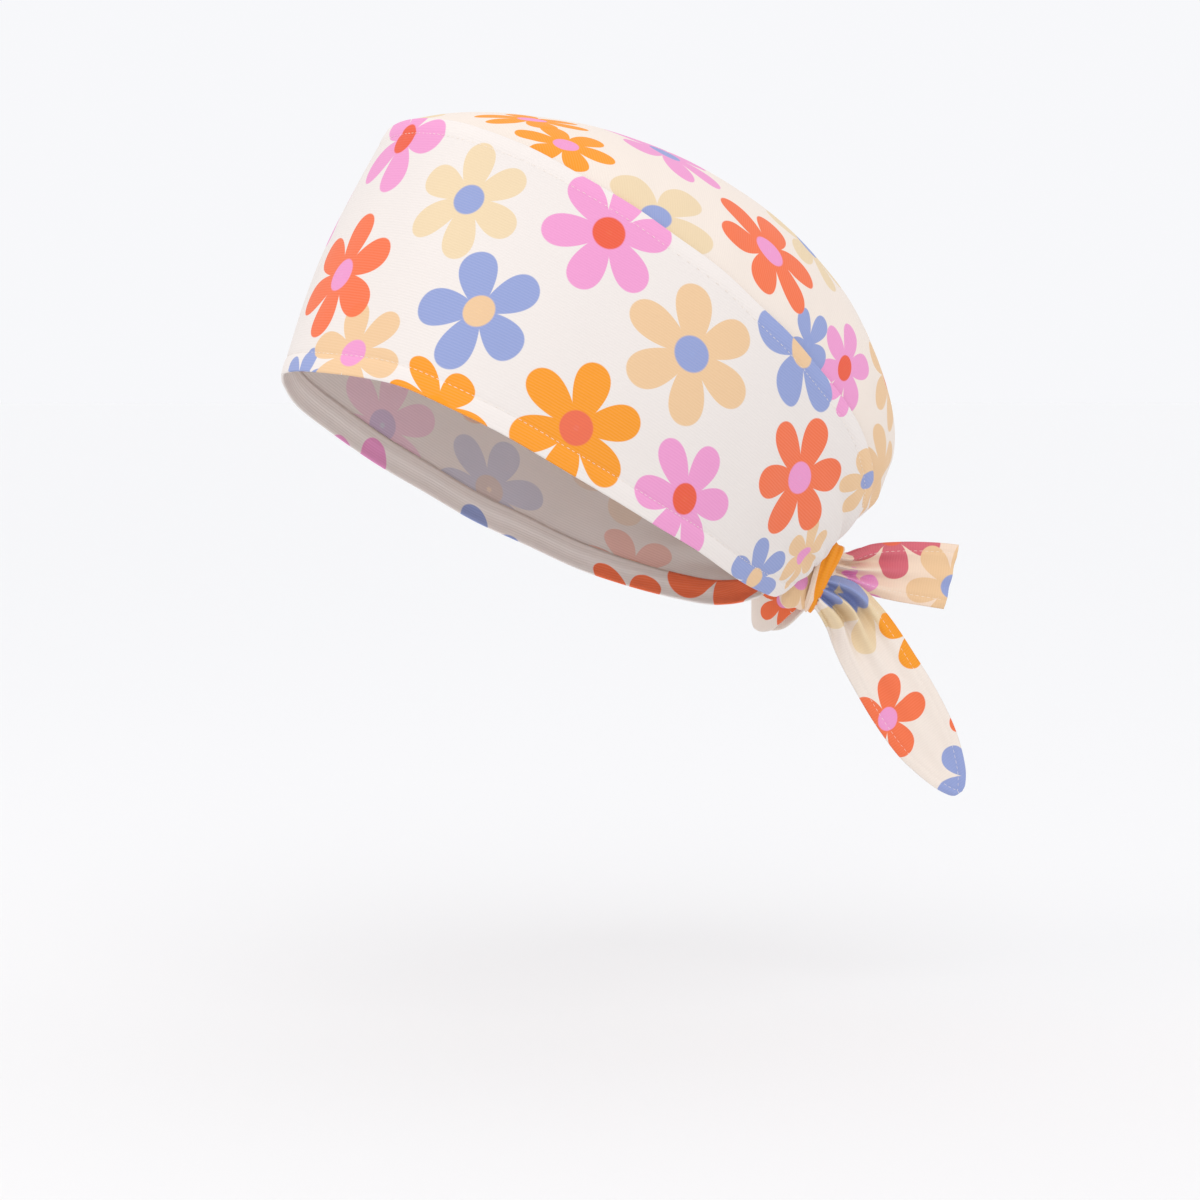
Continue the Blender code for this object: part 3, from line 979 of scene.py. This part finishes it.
def mirrored(prints: list[Print], gap: float) -> list[Print]:
    """Carry the print on over a piece's far half: the near half's blooms turned over, in other dyes.

    Args:
        prints: The near half's blooms.
        gap: Least distance in millimetres between the middles of two blooms.

    Returns:
        All the blooms.
    """
    found = list(prints)
    for bloom in prints:
        if all(math.hypot(bloom.u + other.u, bloom.v - other.v) > gap for other in found):
            found.append(Print(
                -bloom.u, bloom.v, (-bloom.along[0], bloom.along[1]), (-bloom.aside[0], bloom.aside[1]),
                bloom.petals, NEXT_DYE[bloom.petal], NEXT_DYE[bloom.eye],
            ))
    return found


def lay_print(mesh: bpy.types.Mesh, places: np.ndarray, prints: Sequence[Print]) -> None:
    """Give a mesh its maps: its place on the cut, and for each face the two blooms that it lies nearest to.

    Args:
        mesh: The piece's mesh.
        places: Place on the cut in millimetres of each corner point of the mesh.
        prints: The blooms on the cut, two or more.
    """
    loops = np.zeros(len(mesh.loops), int)
    mesh.loops.foreach_get("vertex_index", loops)
    spots = places[loops]
    cut_map = mesh.uv_layers.new(name="cut")
    cut_map.data.foreach_set("uv", spots.astype(np.float32).ravel())
    middles = np.array([(bloom.u, bloom.v) for bloom in prints])
    turns = np.linalg.inv(np.array([(bloom.along, bloom.aside) for bloom in prints]))
    sectors = 2 * math.pi / np.array([bloom.petals for bloom in prints])
    centres = spots.reshape(-1, 4, 2).mean(axis=1)
    local = np.einsum("fbi,bij->fbj", centres[:, None] - middles, turns)
    apart = np.linalg.norm(local, axis=2)
    folds = (np.arctan2(local[..., 1], local[..., 0]) + sectors / 2) % sectors - sectors / 2
    covers = petal_cover(apart * np.cos(folds), apart * np.sin(folds), 2 * math.pi / sectors)
    nearest = np.argsort(-np.where(apart < BLOOM_REACH, covers, OUT_OF_REACH - apart), axis=1)
    nearest = np.sort(nearest[:, :2], axis=1)
    for place, order in enumerate(("near", "next")):
        chosen = nearest[:, place]
        corners = chosen.repeat(4)
        turned = np.einsum("li,lij->lj", spots - middles[corners], turns[corners])
        bloom_map = mesh.uv_layers.new(name=order + "_bloom")
        bloom_map.data.foreach_set("uv", turned.astype(np.float32).ravel())
        counts = mesh.attributes.new(order + "_petals", "FLOAT", "FACE")
        counts.data.foreach_set("value", np.array([bloom.petals for bloom in prints], np.float32)[chosen])
        for name, dyes in (
            ("_petal_dye", [bloom.petal.linear() for bloom in prints]),
            ("_eye_dye", [bloom.eye.linear() for bloom in prints]),
        ):
            colours = mesh.attributes.new(order + name, "FLOAT_VECTOR", "FACE")
            colours.data.foreach_set("vector", np.array(dyes, np.float32)[chosen].ravel())


def added(name: str, shape: bmesh.types.BMesh) -> bpy.types.Object:
    """Turn a finished shape into an object of the scene."""
    mesh = bpy.data.meshes.new(name)
    shape.to_mesh(mesh)
    shape.free()
    piece = bpy.data.objects.new(name, mesh)
    bpy.context.scene.collection.objects.link(piece)
    return piece


def cloth(
    name: str,
    columns: int,
    rows: int,
    place: Callable[[int, int], Vector],
    spot: Callable[[np.ndarray, np.ndarray], np.ndarray],
    prints: Sequence[Print],
) -> tuple[bpy.types.Object, np.ndarray]:
    """Lay a grid of printed cloth on a surface.

    Args:
        name: The piece's name.
        columns: Cells across.
        rows: Cells along.
        place: Point in metres at a column and a row.
        spot: Places on the cut, in millimetres, at arrays of columns and rows.
        prints: The blooms on the cut, two or more.

    Returns:
        The piece, smooth, with no wall yet, and the place on the cut of each point of its mesh.
    """
    shape = bmesh.new()
    bmesh.ops.create_grid(shape, x_segments=columns, y_segments=rows, size=0.5)
    for corner in shape.verts:
        corner.co = place(round((corner.co.x + 0.5) * columns), round((corner.co.y + 0.5) * rows))
    piece = added(name, shape)
    piece.data.shade_smooth()
    number = np.arange(len(piece.data.vertices))
    places = spot(number % (columns + 1), number // (columns + 1))
    lay_print(piece.data, places, prints)
    return piece, places


def mark_doubled(mesh: bpy.types.Mesh, shares: Sequence[float]) -> None:
    """Mark how far the cloth is doubled at each point of a mesh, which makes it look brighter."""
    doubled = mesh.attributes.new("doubled", "FLOAT", "POINT")
    doubled.data.foreach_set("value", np.array(shares, np.float32))


def declare(piece: bpy.types.Object, places: np.ndarray, held: Held, **more: Any) -> None:
    """Read a piece's corners and measure the width and the length of its flat cut, which are not kept.

    Args:
        piece: The piece, of four-sided faces.
        places: Place on the cut in millimetres of each point of its mesh.
        held: How it is held. Not used.
        more: Other words for the sheet, such as its stitches. Not used.
    """
    corners = np.zeros(len(piece.data.loops), int)
    piece.data.loops.foreach_get("vertex_index", corners)
    width, length = (float(reach) * MM for reach in np.ptp(places, axis=0))


def wall(piece: bpy.types.Object, thickness: float, wrong_side: int = 0) -> None:
    """Give cloth its thickness on the inner side, with the wrong side's material there."""
    maker = piece.modifiers.new("wall", "SOLIDIFY")
    maker.thickness = thickness
    maker.offset = -1
    maker.material_offset = wrong_side


@dataclass
class Stitching:
    """A row of stitches along a line on the cloth."""

    name: str
    pitch: float = 2.5 * MM
    length: float = 1.7 * MM
    thread: float = 0.11 * MM

    def sew(self, lines: Sequence[Sequence[Vector]]) -> bpy.types.Object:
        """Lay the stitches.

        Args:
            lines: Each row's line of points on the cloth's outer surface.

        Returns:
            One piece with all the stitches.
        """
        shape = bmesh.new()
        for line in lines:
            spare = 0.0
            for start, end in zip(line, line[1:]):
                span = (end - start).length
                while spare < span:
                    middle = start.lerp(end, spare / span)
                    turn = (end - start).to_track_quat("Z", "Y").to_matrix().to_4x4()
                    size = Matrix.Diagonal((self.thread, self.thread, 0.5 * self.length, 1))
                    place = Matrix.Translation(middle) @ turn @ size
                    bmesh.ops.create_uvsphere(shape, u_segments=6, v_segments=5, radius=1, matrix=place)
                    spare += self.pitch
                spare -= span
        piece = added(self.name, shape)
        piece.data.shade_smooth()
        piece.data.materials.append(SewingThread().material())
        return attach(piece, "root")


@dataclass
class SideBand:
    """The tall band, with its hem turned up inside and its topstitched upper edge."""

    shape: CapShape
    view: Viewpoint
    ply: float = 0.45 * MM
    fold: float = 0.55 * MM
    hem: float = 12 * MM
    hem_stitch: float = 7.5 * MM
    top_turning: float = 8 * MM
    top_stitch: float = 6.5 * MM
    edge_zone: float = 12 * MM
    columns: int = 320
    hem_rows: int = 8
    fold_rows: int = 5
    edge_rows: int = 16
    outer_rows: int = 76
    top_rows: int = 5
    dimple_reach: float = 0.9 * MM
    dimple_mm: float = 0.34
    hem_puff_reach: float = 2.6 * MM
    top_puff_reach: float = 2.4 * MM
    puff_mm: float = 0.30
    pucker_reach: float = 3 * MM
    pucker_pace: float = 31
    pucker_mm: float = 0.10
    wave_mm: float = 0.8
    stitch_steps: int = 600
    stitch_end: float = 0.4
    stitch_lift: float = 0.05

    @property
    def rows(self) -> int:
        """All the cells from the turning inside the hem to the one inside the top."""
        return self.hem_rows + 2 * self.fold_rows + self.outer_rows + self.top_rows

    def surface(self, row: float, height: float) -> Vector:
        """Outer surface with its dimples at the stitching, its folds at the nape and its soft waves."""
        _, out, length = self.shape.band_frame(row, height)
        base = self.shape.band_point(row, height)
        rise = height * length
        fall = length - rise
        dimple = hump(rise, self.hem_stitch, self.dimple_reach)
        dimple += hump(fall, self.top_stitch, self.dimple_reach)
        puff = hump(rise, 0.5 * self.hem_stitch, self.hem_puff_reach)
        puff += hump(fall, 0.5 * self.top_stitch, self.top_puff_reach)
        pucker = hump(rise, self.hem_stitch, self.pucker_reach)
        pucker += hump(fall, self.top_stitch, self.pucker_reach)
        waves = noise.noise(Vector((row * 0.9, height * 2.3, 0.4)))
        inner = min(max(min(rise, fall) / length * 4, 0), 1)
        depth = -self.dimple_mm * dimple + self.puff_mm * puff
        depth += self.pucker_mm * pucker * math.sin(row * self.pucker_pace)
        depth += self.wave_mm * waves * inner
        return base + out * (depth * MM + self.shape.nape_fold(base) * inner)

    def outer_share(self, number: int, length: float) -> float:
        """Share of the height of a row on the outer face; rows lie closer near the stitching."""
        last = self.outer_rows
        low = min(self.edge_zone / length, 0.3)
        if number <= self.edge_rows:
            return low * number / self.edge_rows
        if number >= last - self.edge_rows:
            return 1 - low * (last - number) / self.edge_rows
        return low + (1 - 2 * low) * (number - self.edge_rows) / (last - 2 * self.edge_rows)

    def section(self, number: int, length: float) -> tuple[float, float]:
        """Where a row of the grid lies on the band's section.

        Args:
            number: Row of the grid, from the turning inside the hem to the one inside the top.
            length: Length from hem to seam.

        Returns:
            The share of the height, and the depth below the outer surface.
        """
        if number <= self.hem_rows:
            return self.hem / length * (1 - number / self.hem_rows), 2 * self.fold
        number -= self.hem_rows
        if number <= self.fold_rows:
            turn = math.pi * number / self.fold_rows
            return -self.fold / length * math.sin(turn), self.fold * (1 + math.cos(turn))
        number -= self.fold_rows
        if number <= self.outer_rows:
            return self.outer_share(number, length), 0
        number -= self.outer_rows
        if number <= self.fold_rows:
            turn = math.pi * number / self.fold_rows
            return 1 + self.fold / length * math.sin(turn), self.fold * (1 - math.cos(turn))
        number -= self.fold_rows
        return 1 - self.top_turning / length * number / self.top_rows, 2 * self.fold

    def flat_share(self, number: int, length: float) -> float:
        """Share of the height that a row of the grid has on the flat cut, past 0 and 1 in the turnings."""
        height, depth = self.section(number, length)
        turned = depth > self.fold
        if turned and number < self.rows // 2:
            return -height - math.pi * self.fold / length
        if turned:
            return 2 - height + math.pi * self.fold / length
        return height

    def build(self) -> bpy.types.Object:
        """Make the band, its print and its stitching."""
        last = self.shape.last_row
        lengths = [self.shape.band_frame(2 * last * n / self.columns - last, 0.5)[2]
                   for n in range(self.columns + 1)]

        def place(column: int, number: int) -> Vector:
            """Point of the folded band at a grid corner."""
            row = 2 * last * column / self.columns - last
            height, depth = self.section(number, lengths[column])
            out = self.shape.band_frame(row, height)[1]
            return self.surface(row, height) - out * depth

        cut = Cut(self.shape.band_point, (-last, last), (-0.35, 1.20), 128, 16)
        prints = [FAR_HEM_PRINT, *mirrored(cut.printed(self.view, BAND_BLOOMS), BAND_GAP)]

        def spot(column: np.ndarray, number: np.ndarray) -> np.ndarray:
            """Places on the cut at grid corners."""
            shares = np.array([self.flat_share(n, lengths[c]) for c, n in zip(column, number)])
            return cut.at(2 * last * column / self.columns - last, shares)

        piece, places = cloth("side_band_cloth", self.columns, self.rows, place, spot, prints)
        mark_doubled(piece.data, [
            self.doubled(number // (self.columns + 1), lengths[number % (self.columns + 1)])
            for number in range(len(piece.data.vertices))
        ])
        piece.data.materials.append(PrintedCotton("band_cotton").material())
        piece.data.materials.append(PrintedCotton("band_wrong_side", fade=0.6).material())
        wall(piece, self.ply, wrong_side=1)
        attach(piece, "root")
        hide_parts("side_band")
        declare(piece, places, Held.STRETCHED, with_pieces=[self.stitch()])
        return piece

    def doubled(self, number: int, length: float) -> float:
        """1 where a row of the grid is doubled by the hem or the upper turning, else 0."""
        height, depth = self.section(number, length)
        rise = height * length
        return float(depth > 0 or rise < self.hem_stitch or length - rise < self.top_stitch)

    def stitch(self) -> bpy.types.Object:
        """Topstitching above the hem and below the upper edge."""
        last = self.shape.last_row
        lines = []
        for low, rise in ((True, self.hem_stitch), (False, self.top_stitch)):
            line = []
            for number in range(2 * self.stitch_steps + 1):
                row = (number / self.stitch_steps - 1) * (last - self.stitch_end)
                length = self.shape.band_frame(row, 0.5)[2]
                height = rise / length if low else 1 - rise / length
                out = self.shape.band_frame(row, height)[1]
                line.append(self.surface(row, height) + out * self.stitch_lift * MM)
            lines.append(line)
        return Stitching("band_stitches").sew(lines)


@dataclass
class Crown:
    """The crown, set under the band's upper edge and gathered at the nape."""

    shape: CapShape
    view: Viewpoint
    ply: float = 0.45 * MM
    wave_mm: float = 0.9
    pucker_mm: float = 5.0
    pucker_pace: float = 26
    pucker_place: float = 0.9
    pucker_reach: float = 0.22
    columns: int = 112
    rows: int = 160

    def surface(self, across: float, along: float) -> Vector:
        """Outer surface with soft waves, puckers along the seam and small folds at the nape."""
        point = self.shape.crown_point(across, along)
        waves = noise.noise(Vector((across * 2.1, along * 5.3, 1.7)))
        inner = (1 - across**2) * min(max(along, 0) * 6, 1)
        edge = (1 - abs(across)) * hump(abs(across), self.pucker_place, self.pucker_reach)
        edge *= min(max(along, 0) * 12, 1)
        pucker = edge * noise.noise(Vector((math.copysign(3, across), along * self.pucker_pace, across * 4)))
        lift = (self.wave_mm * waves * inner + self.pucker_mm * pucker) * MM
        lift += self.shape.nape_fold(point) * inner
        return point + Vector((0.25 * across, 0.35 + 0.5 * along, 1 - along)).normalized() * lift

    def build(self) -> bpy.types.Object:
        """Make the crown and its print."""
        shape = self.shape

        def place(column: int, number: int) -> Vector:
            """Point at a grid corner; the outermost ones lie under the band."""
            along = max(number - 1, 0) / (self.rows - 1)
            across = 2 * (column - 1) / (self.columns - 2) - 1
            if column in (0, self.columns):
                back = max(along, 0.25 / self.rows)
                row = shape.corner_row + back * (shape.last_row - shape.corner_row)
                return shape.under_seam(math.copysign(row, column - 1), shape.seam_lap)
            if number == 0:
                return shape.under_seam(shape.corner_row * min(max(across, -0.99), 0.99), shape.seam_lap)
            return self.surface(across, along)

        cut = Cut(shape.crown_point, (-1, 1), (0, 1), 32, 48)
        prints = mirrored([*cut.printed(self.view, CROWN_BLOOMS), *CROWN_PRINTS], CROWN_GAP)

        def spot(column: np.ndarray, number: np.ndarray) -> np.ndarray:
            """Places on the cut at grid corners."""
            return cut.at(2 * (column - 1) / (self.columns - 2) - 1, (number - 1) / (self.rows - 1))

        piece, places = cloth("crown_cloth", self.columns, self.rows, place, spot, prints)
        # The crown's ground, on its right and wrong side, carries painted warm light.
        warm = Dye.GROUND_WITH_PAINTED_WARM_LIGHT
        piece.data.materials.append(PrintedCotton("crown_cotton", ground=warm, rib_relief=0.12).material())
        piece.data.materials.append(PrintedCotton("crown_wrong_side", ground=warm, fade=0.6).material())
        wall(piece, self.ply, wrong_side=1)
        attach(piece, "root")
        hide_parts("crown")
        declare(piece, places, Held.GATHERED)
        return piece


@dataclass
class TieEnd:
    """One end of the tie: a doubled strip, topstitched near both edges, its root tucked under the wrap."""

    knot: KnotShape
    view: Viewpoint
    name: str
    rows_table: Sequence[TailRow]
    blooms: Sequence[Bloom]
    prints: Sequence[Print]
    ground: Dye
    length: float
    width: float
    drop: float
    root_side: int
    spill: float
    tuck: float
    tuck_near: float
    tuck_share: float = 0.12
    spread: float = 1.6
    root_rise: float = 0.0088
    stitch_inset: float = 4.0 * MM
    stitch_run: tuple[int, int] = (16, 96)
    stitch_parts: int = 100
    edge_mm: float = 0.30
    wave_mm: float = 0.5
    columns: int = 48
    rows: int = 110

    def surface(self, across: float, along: float) -> Vector:
        """Outer surface; along runs from 0 to 1 and across from -1 to 1."""
        position = along * (len(self.rows_table) - 1)
        share, rise, wide, pleat, swing, turn = smooth(self.rows_table, position)
        right = share * self.length
        up = rise * self.length
        fold = pleat * (math.cos(3 * math.pi * across) - 0.4 * across**2)
        offset = 0.5 * wide * self.width * across
        heading = self.drop + self.knot.tilt
        lean = heading + turn
        hidden = max(1 - share / self.tuck_share, 0) ** 2
        left = self.tuck * hidden
        near = self.tuck_near * hidden + self.width * (swing + fold) + self.relief(share, wide, across) * MM
        ahead = self.knot.wrap_width - left + right * math.cos(heading) + up * math.sin(heading)
        above = self.root_side * 0.5 * self.root_rise - right * math.sin(heading) + up * math.cos(heading)
        return self.knot.point(ahead + offset * math.sin(lean), above + offset * math.cos(lean), near)

    def relief(self, share: float, wide: float, across: float) -> float:
        """Height in millimetres of the stitched edges, the creases at the root and the soft waves."""
        inset = (1 - abs(across)) * 0.5 * wide * self.width
        edges = self.edge_mm * hump(inset, 0.45 * self.stitch_inset, 1.6 * MM)
        edges -= self.edge_mm * hump(inset, self.stitch_inset, 0.8 * MM)
        root = hump(share, 0.06, 0.16) * min(1, wide * 1.6)
        creases = 1.0 * math.sin(11 * across + 1.3) + 0.5 * math.sin(23 * across + 9 * share)
        waves = noise.noise(Vector((across * 1.3, share * 4, 2.2)))
        return edges * min(share * 6, 1) + root * creases + self.wave_mm * waves

    def build(self) -> bpy.types.Object:
        """Make the end, its print and its stitching."""
        cut = Cut(self.surface, (-self.spread, self.spread), (0, self.spill), 16, 32)
        piece, places = cloth(
            self.name + "_cloth", self.columns, self.rows,
            lambda column, number: self.surface(1 - 2 * column / self.columns, number / self.rows),
            lambda column, number: cut.at(1 - 2 * column / self.columns, number / self.rows),
            [*self.prints, *cut.printed(self.view, self.blooms)],
        )
        cotton = PrintedCotton(self.name + "_cotton", ground=self.ground, rib_relief=0.08, rib_bare=0.03)
        piece.data.materials.append(cotton.material())
        wall(piece, self.knot.cloth)
        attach(piece, "root")
        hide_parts(self.name)
        declare(piece, places, Held.HUNG, with_pieces=[self.stitch()])
        return piece

    def stitch(self) -> bpy.types.Object:
        """Topstitching along both long edges."""
        lines = []
        for side in (-1, 1):
            line = []
            for number in range(self.stitch_run[0], self.stitch_run[1] + 1):
                along = number / self.stitch_parts
                half = 0.5 * self.width * smooth(self.rows_table, along * (len(self.rows_table) - 1))[2]
                inset = side * max(1 - self.stitch_inset / half, 0)
                line.append(self.surface(inset, along))
            lines.append(line)
        return Stitching(self.name + "_stitches", thread=0.09 * MM).sew(lines)


@dataclass
class Knot:
    """The knot's core, its wrap and its loop."""

    knot: KnotShape
    view: Viewpoint
    core_reach: float = 0.0235
    wrap_bow: float = 0.0066
    wrap_phase: float = 0.75
    wrap_lean: float = 0.35
    wrap_flare: float = 0.34
    pleat_mm: float = 0.42
    pleat_count: int = 7
    fine_pleat_mm: float = 0.10
    fine_pleat_count: int = 15
    core_pleat: float = 0.05
    core_fine_pleat: float = 0.03
    core_taper: float = 0.3

    def finish(self, piece: bpy.types.Object, node: str, ground: Dye = Dye.GROUND_WITH_PAINTED_WARM_SHADE) -> None:
        """Dress a piece of the knot and set it in place of its solid; its ground carries painted warm shade
        unless another is given.
        """
        cotton = PrintedCotton(node + "_cotton", ground=ground, tone=0.84, rib_relief=0.03, rib_bare=0.02)
        piece.data.materials.append(cotton.material())
        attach(piece, "root")
        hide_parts(node)

    def loop(self) -> bpy.types.Object:
        """The folded loop at the knot's lower left."""
        columns, rows = 24, 96
        cut = Cut(self.knot.loop_point, (-1, 1), (0, 1), 16, 32)
        piece, places = cloth(
            "tie_loop_cloth", columns, rows,
            lambda column, number: self.knot.loop_point(2 * column / columns - 1, number / rows),
            lambda column, number: cut.at(2 * column / columns - 1, number / rows),
            cut.printed(self.view, LOOP_BLOOMS) * 2,
        )
        wall(piece, self.knot.cloth)
        # The loop's ground carries painted warm light.
        self.finish(piece, "tie_loop", Dye.GROUND_WITH_PAINTED_WARM_LIGHT)
        declare(piece, places, Held.FOLDED)
        return piece

    def wrap_point(self, around: float, across: float) -> Vector:
        """Surface of the wrap: around runs from 0 to 1 round the core, across from 0 to 1 round its own edge.

        Both start at the side that is out of sight, so that the cut's middle is the outer face in front.
        """
        knot = self.knot
        turn = 2 * math.pi * (around - 0.5)
        roll = 2 * math.pi * (across - 0.5)
        bow = self.wrap_bow * 0.5 * (1 + math.cos(turn + self.wrap_phase))
        middle = 0.5 * knot.wrap_width - bow
        width = knot.wrap_width * (1.0 + self.wrap_flare * math.sin(turn))
        thickness = 0.5 * knot.wrap_thickness
        rolled = math.sin(roll)
        pleats = self.pleat_mm * math.sin(self.pleat_count * rolled + 1.7 * math.sin(turn + 0.5))
        pleats += self.fine_pleat_mm * math.sin(self.fine_pleat_count * rolled - 2.5 * math.cos(turn))
        high = 0.5 * knot.core_height + knot.cap.clearance + thickness
        deep = 0.5 * knot.cap.core_depth + knot.cap.clearance + thickness
        front = max(math.cos(roll), 0)
        over = thickness * math.cos(roll) * (1 + 0.5 * front) + front * pleats * MM
        up = (high + over) * math.sin(turn)
        near = (deep + over) * math.cos(turn) + self.wrap_lean * max(up, 0)
        return knot.point(middle + 0.5 * width * rolled, up, near)

    def wrap(self) -> bpy.types.Object:
        """The turn of cloth round the core."""
        columns, rows = 96, 96
        cut = Cut(lambda p, q: self.wrap_point(q, p), (0, 1), (0, 1), 16, 32)
        stripe = cut.petal((0.57, 0.34), (0.50, 0.80), 0.20, Dye.AMBER)
        edge = cut.petal((0.66, 0.16), (0.64, 0.46), 0.14, Dye.CORAL)
        piece, _ = cloth(
            "knot_wrap_cloth", columns, rows,
            lambda column, number: self.wrap_point(number / rows, column / columns),
            lambda column, number: cut.at(column / columns, number / rows),
            [stripe, edge],
        )
        self.close(piece)
        self.finish(piece, "knot_wrap")
        return piece

    def core_point(self, around: float, along: float) -> Vector:
        """Surface of the core: around runs round it from behind, along from its far end to the wrap."""
        knot = self.knot
        turn = 2 * math.pi * (around - 0.5)
        roll = math.pi * along
        wide = math.sin(roll)
        right = 0.5 * self.core_reach * (-math.cos(roll) - 1) + knot.wrap_width
        droop = knot.core_droop * max(-right / knot.core_length, 0)
        pleats = self.core_pleat * math.sin(2 * turn + 22 * along)
        pleats += self.core_fine_pleat * math.sin(3 * turn - 41 * along)
        pleat = 1 + pleats * wide
        up = 0.5 * knot.core_height * wide * math.sin(turn) * pleat - droop
        deep = 0.5 * knot.cap.core_depth * (1 - self.core_taper * along**2)
        return knot.point(right, up, deep * wide * math.cos(turn) * pleat)

    def core(self) -> bpy.types.Object:
        """The bundle of cloth that the wrap holds."""
        columns, rows = 96, 48
        cut = Cut(self.core_point, (0, 1), (0.05, 0.95), 32, 16)
        piece, _ = cloth(
            "knot_core_cloth", columns, rows,
            lambda column, number: self.core_point(column / columns, number / rows),
            lambda column, number: cut.at(column / columns, number / rows),
            cut.printed(self.view, CORE_BLOOMS) * 2,
        )
        self.close(piece)
        self.finish(piece, "knot_core")
        return piece

    def close(self, piece: bpy.types.Object) -> None:
        """Join the grid's meeting edges, and turn its faces outwards."""
        shape = bmesh.new()
        shape.from_mesh(piece.data)
        bmesh.ops.remove_doubles(shape, verts=shape.verts, dist=0.01 * MM)
        bmesh.ops.recalc_face_normals(shape, faces=shape.faces)
        shape.to_mesh(piece.data)
        shape.free()

    def build(self) -> list[bpy.types.Object]:
        """Make the knot's three pieces."""
        return [self.core(), self.wrap(), self.loop()]


@dataclass
class Studio:
    """Camera, floor and soft light."""

    view: Viewpoint
    floor_drop: float = 0.221
    floor_reach: float = 400.0
    sky: tuple[float, float, float] = (0.935, 0.938, 0.960)
    sun_strength: float = 0.66
    sun_angle: float = math.radians(50)
    sun_place: tuple[float, float, float] = (1.9, -0.9, 2.0)
    box_size: float = 0.9
    box_power: float = 3.0
    box_tint: tuple[float, float, float] = (1.0, 0.88, 0.78)
    box_place: tuple[float, float, float] = (0.2, -1.3, 1.2)
    target: tuple[float, float, float] = (0, 0.04, 0.04)

    def build(self) -> None:
        """Set up the studio."""
        self.camera()
        self.floor()
        self.light()

    def camera(self) -> None:
        """Place the camera."""
        lens = bpy.data.cameras.new("camera")
        lens.sensor_width = self.view.sensor_mm
        lens.lens = self.view.sensor_mm * self.view.focal_points / self.view.picture_points
        eye = bpy.data.objects.new("camera", lens)
        eye.matrix_world = self.view.pose()
        bpy.context.scene.collection.objects.link(eye)
        bpy.context.scene.camera = eye

    def floor(self) -> None:
        """Lay the pale floor."""
        shape = bmesh.new()
        level = Matrix.Translation((0, 0, -self.floor_drop))
        bmesh.ops.create_grid(shape, x_segments=1, y_segments=1, size=self.floor_reach, matrix=level)
        floor = added("floor", shape)
        floor.data.materials.append(StudioPaper().material())

    def light(self) -> None:
        """Set a bright sky, a broad soft sun from the camera's side and a warm soft box from ahead."""
        world = bpy.data.worlds.new("studio")
        world.use_nodes = True
        backdrop = world.node_tree.nodes["Background"]
        backdrop.inputs["Color"].default_value = (*self.sky, 1)
        backdrop.inputs["Strength"].default_value = 1.0
        bpy.context.scene.world = world
        bpy.context.scene.view_settings.view_transform = "Standard"
        sun = bpy.data.lights.new("sun", "SUN")
        sun.energy = self.sun_strength
        sun.angle = self.sun_angle
        key = bpy.data.lights.new("key", "AREA")
        key.size = self.box_size
        key.energy = self.box_power
        key.color = self.box_tint
        for light, place in ((sun, self.sun_place), (key, self.box_place)):
            lamp = bpy.data.objects.new(light.name, light)
            aim = (Vector(self.target) - Vector(place)).to_track_quat("-Z", "Y")
            lamp.matrix_world = Matrix.Translation(place) @ aim.to_matrix().to_4x4()
            bpy.context.scene.collection.objects.link(lamp)


def main() -> None:
    """Build the cap piece by piece, then the studio."""
    logging.basicConfig(level=logging.INFO, format="%(message)s")
    view = Viewpoint()
    Studio(view).build()
    shape = CapShape()
    knot = KnotShape(shape)
    makers = (
        SideBand(shape, view),
        Crown(shape, view),
        # The short end's ground carries painted warm shade.
        TieEnd(
            knot, view, "tail_short", SHORT_TAIL_ROWS, SHORT_TAIL_BLOOMS, (), Dye.GROUND_WITH_PAINTED_WARM_SHADE,
            length=0.052, width=0.029, drop=math.radians(3), root_side=1, spill=1.25,
            tuck=0.0073, tuck_near=0.0069,
        ),
        # The long end's ground carries painted warm light.
        TieEnd(
            knot, view, "tail_long", LONG_TAIL_ROWS, LONG_TAIL_BLOOMS, LONG_TAIL_PRINTS, Dye.GROUND_WITH_PAINTED_WARM_LIGHT,
            length=0.107, width=0.0325, drop=math.radians(58), root_side=-1, spill=1.0,
            tuck=0.0075, tuck_near=0.0066,
        ),
    )
    pieces = [maker.build() for maker in makers] + Knot(knot, view).build()
    for piece in pieces:
        LOG.info("%s: %s faces", piece.name, len(piece.data.polygons))


if __name__ == "__main__":
    main()
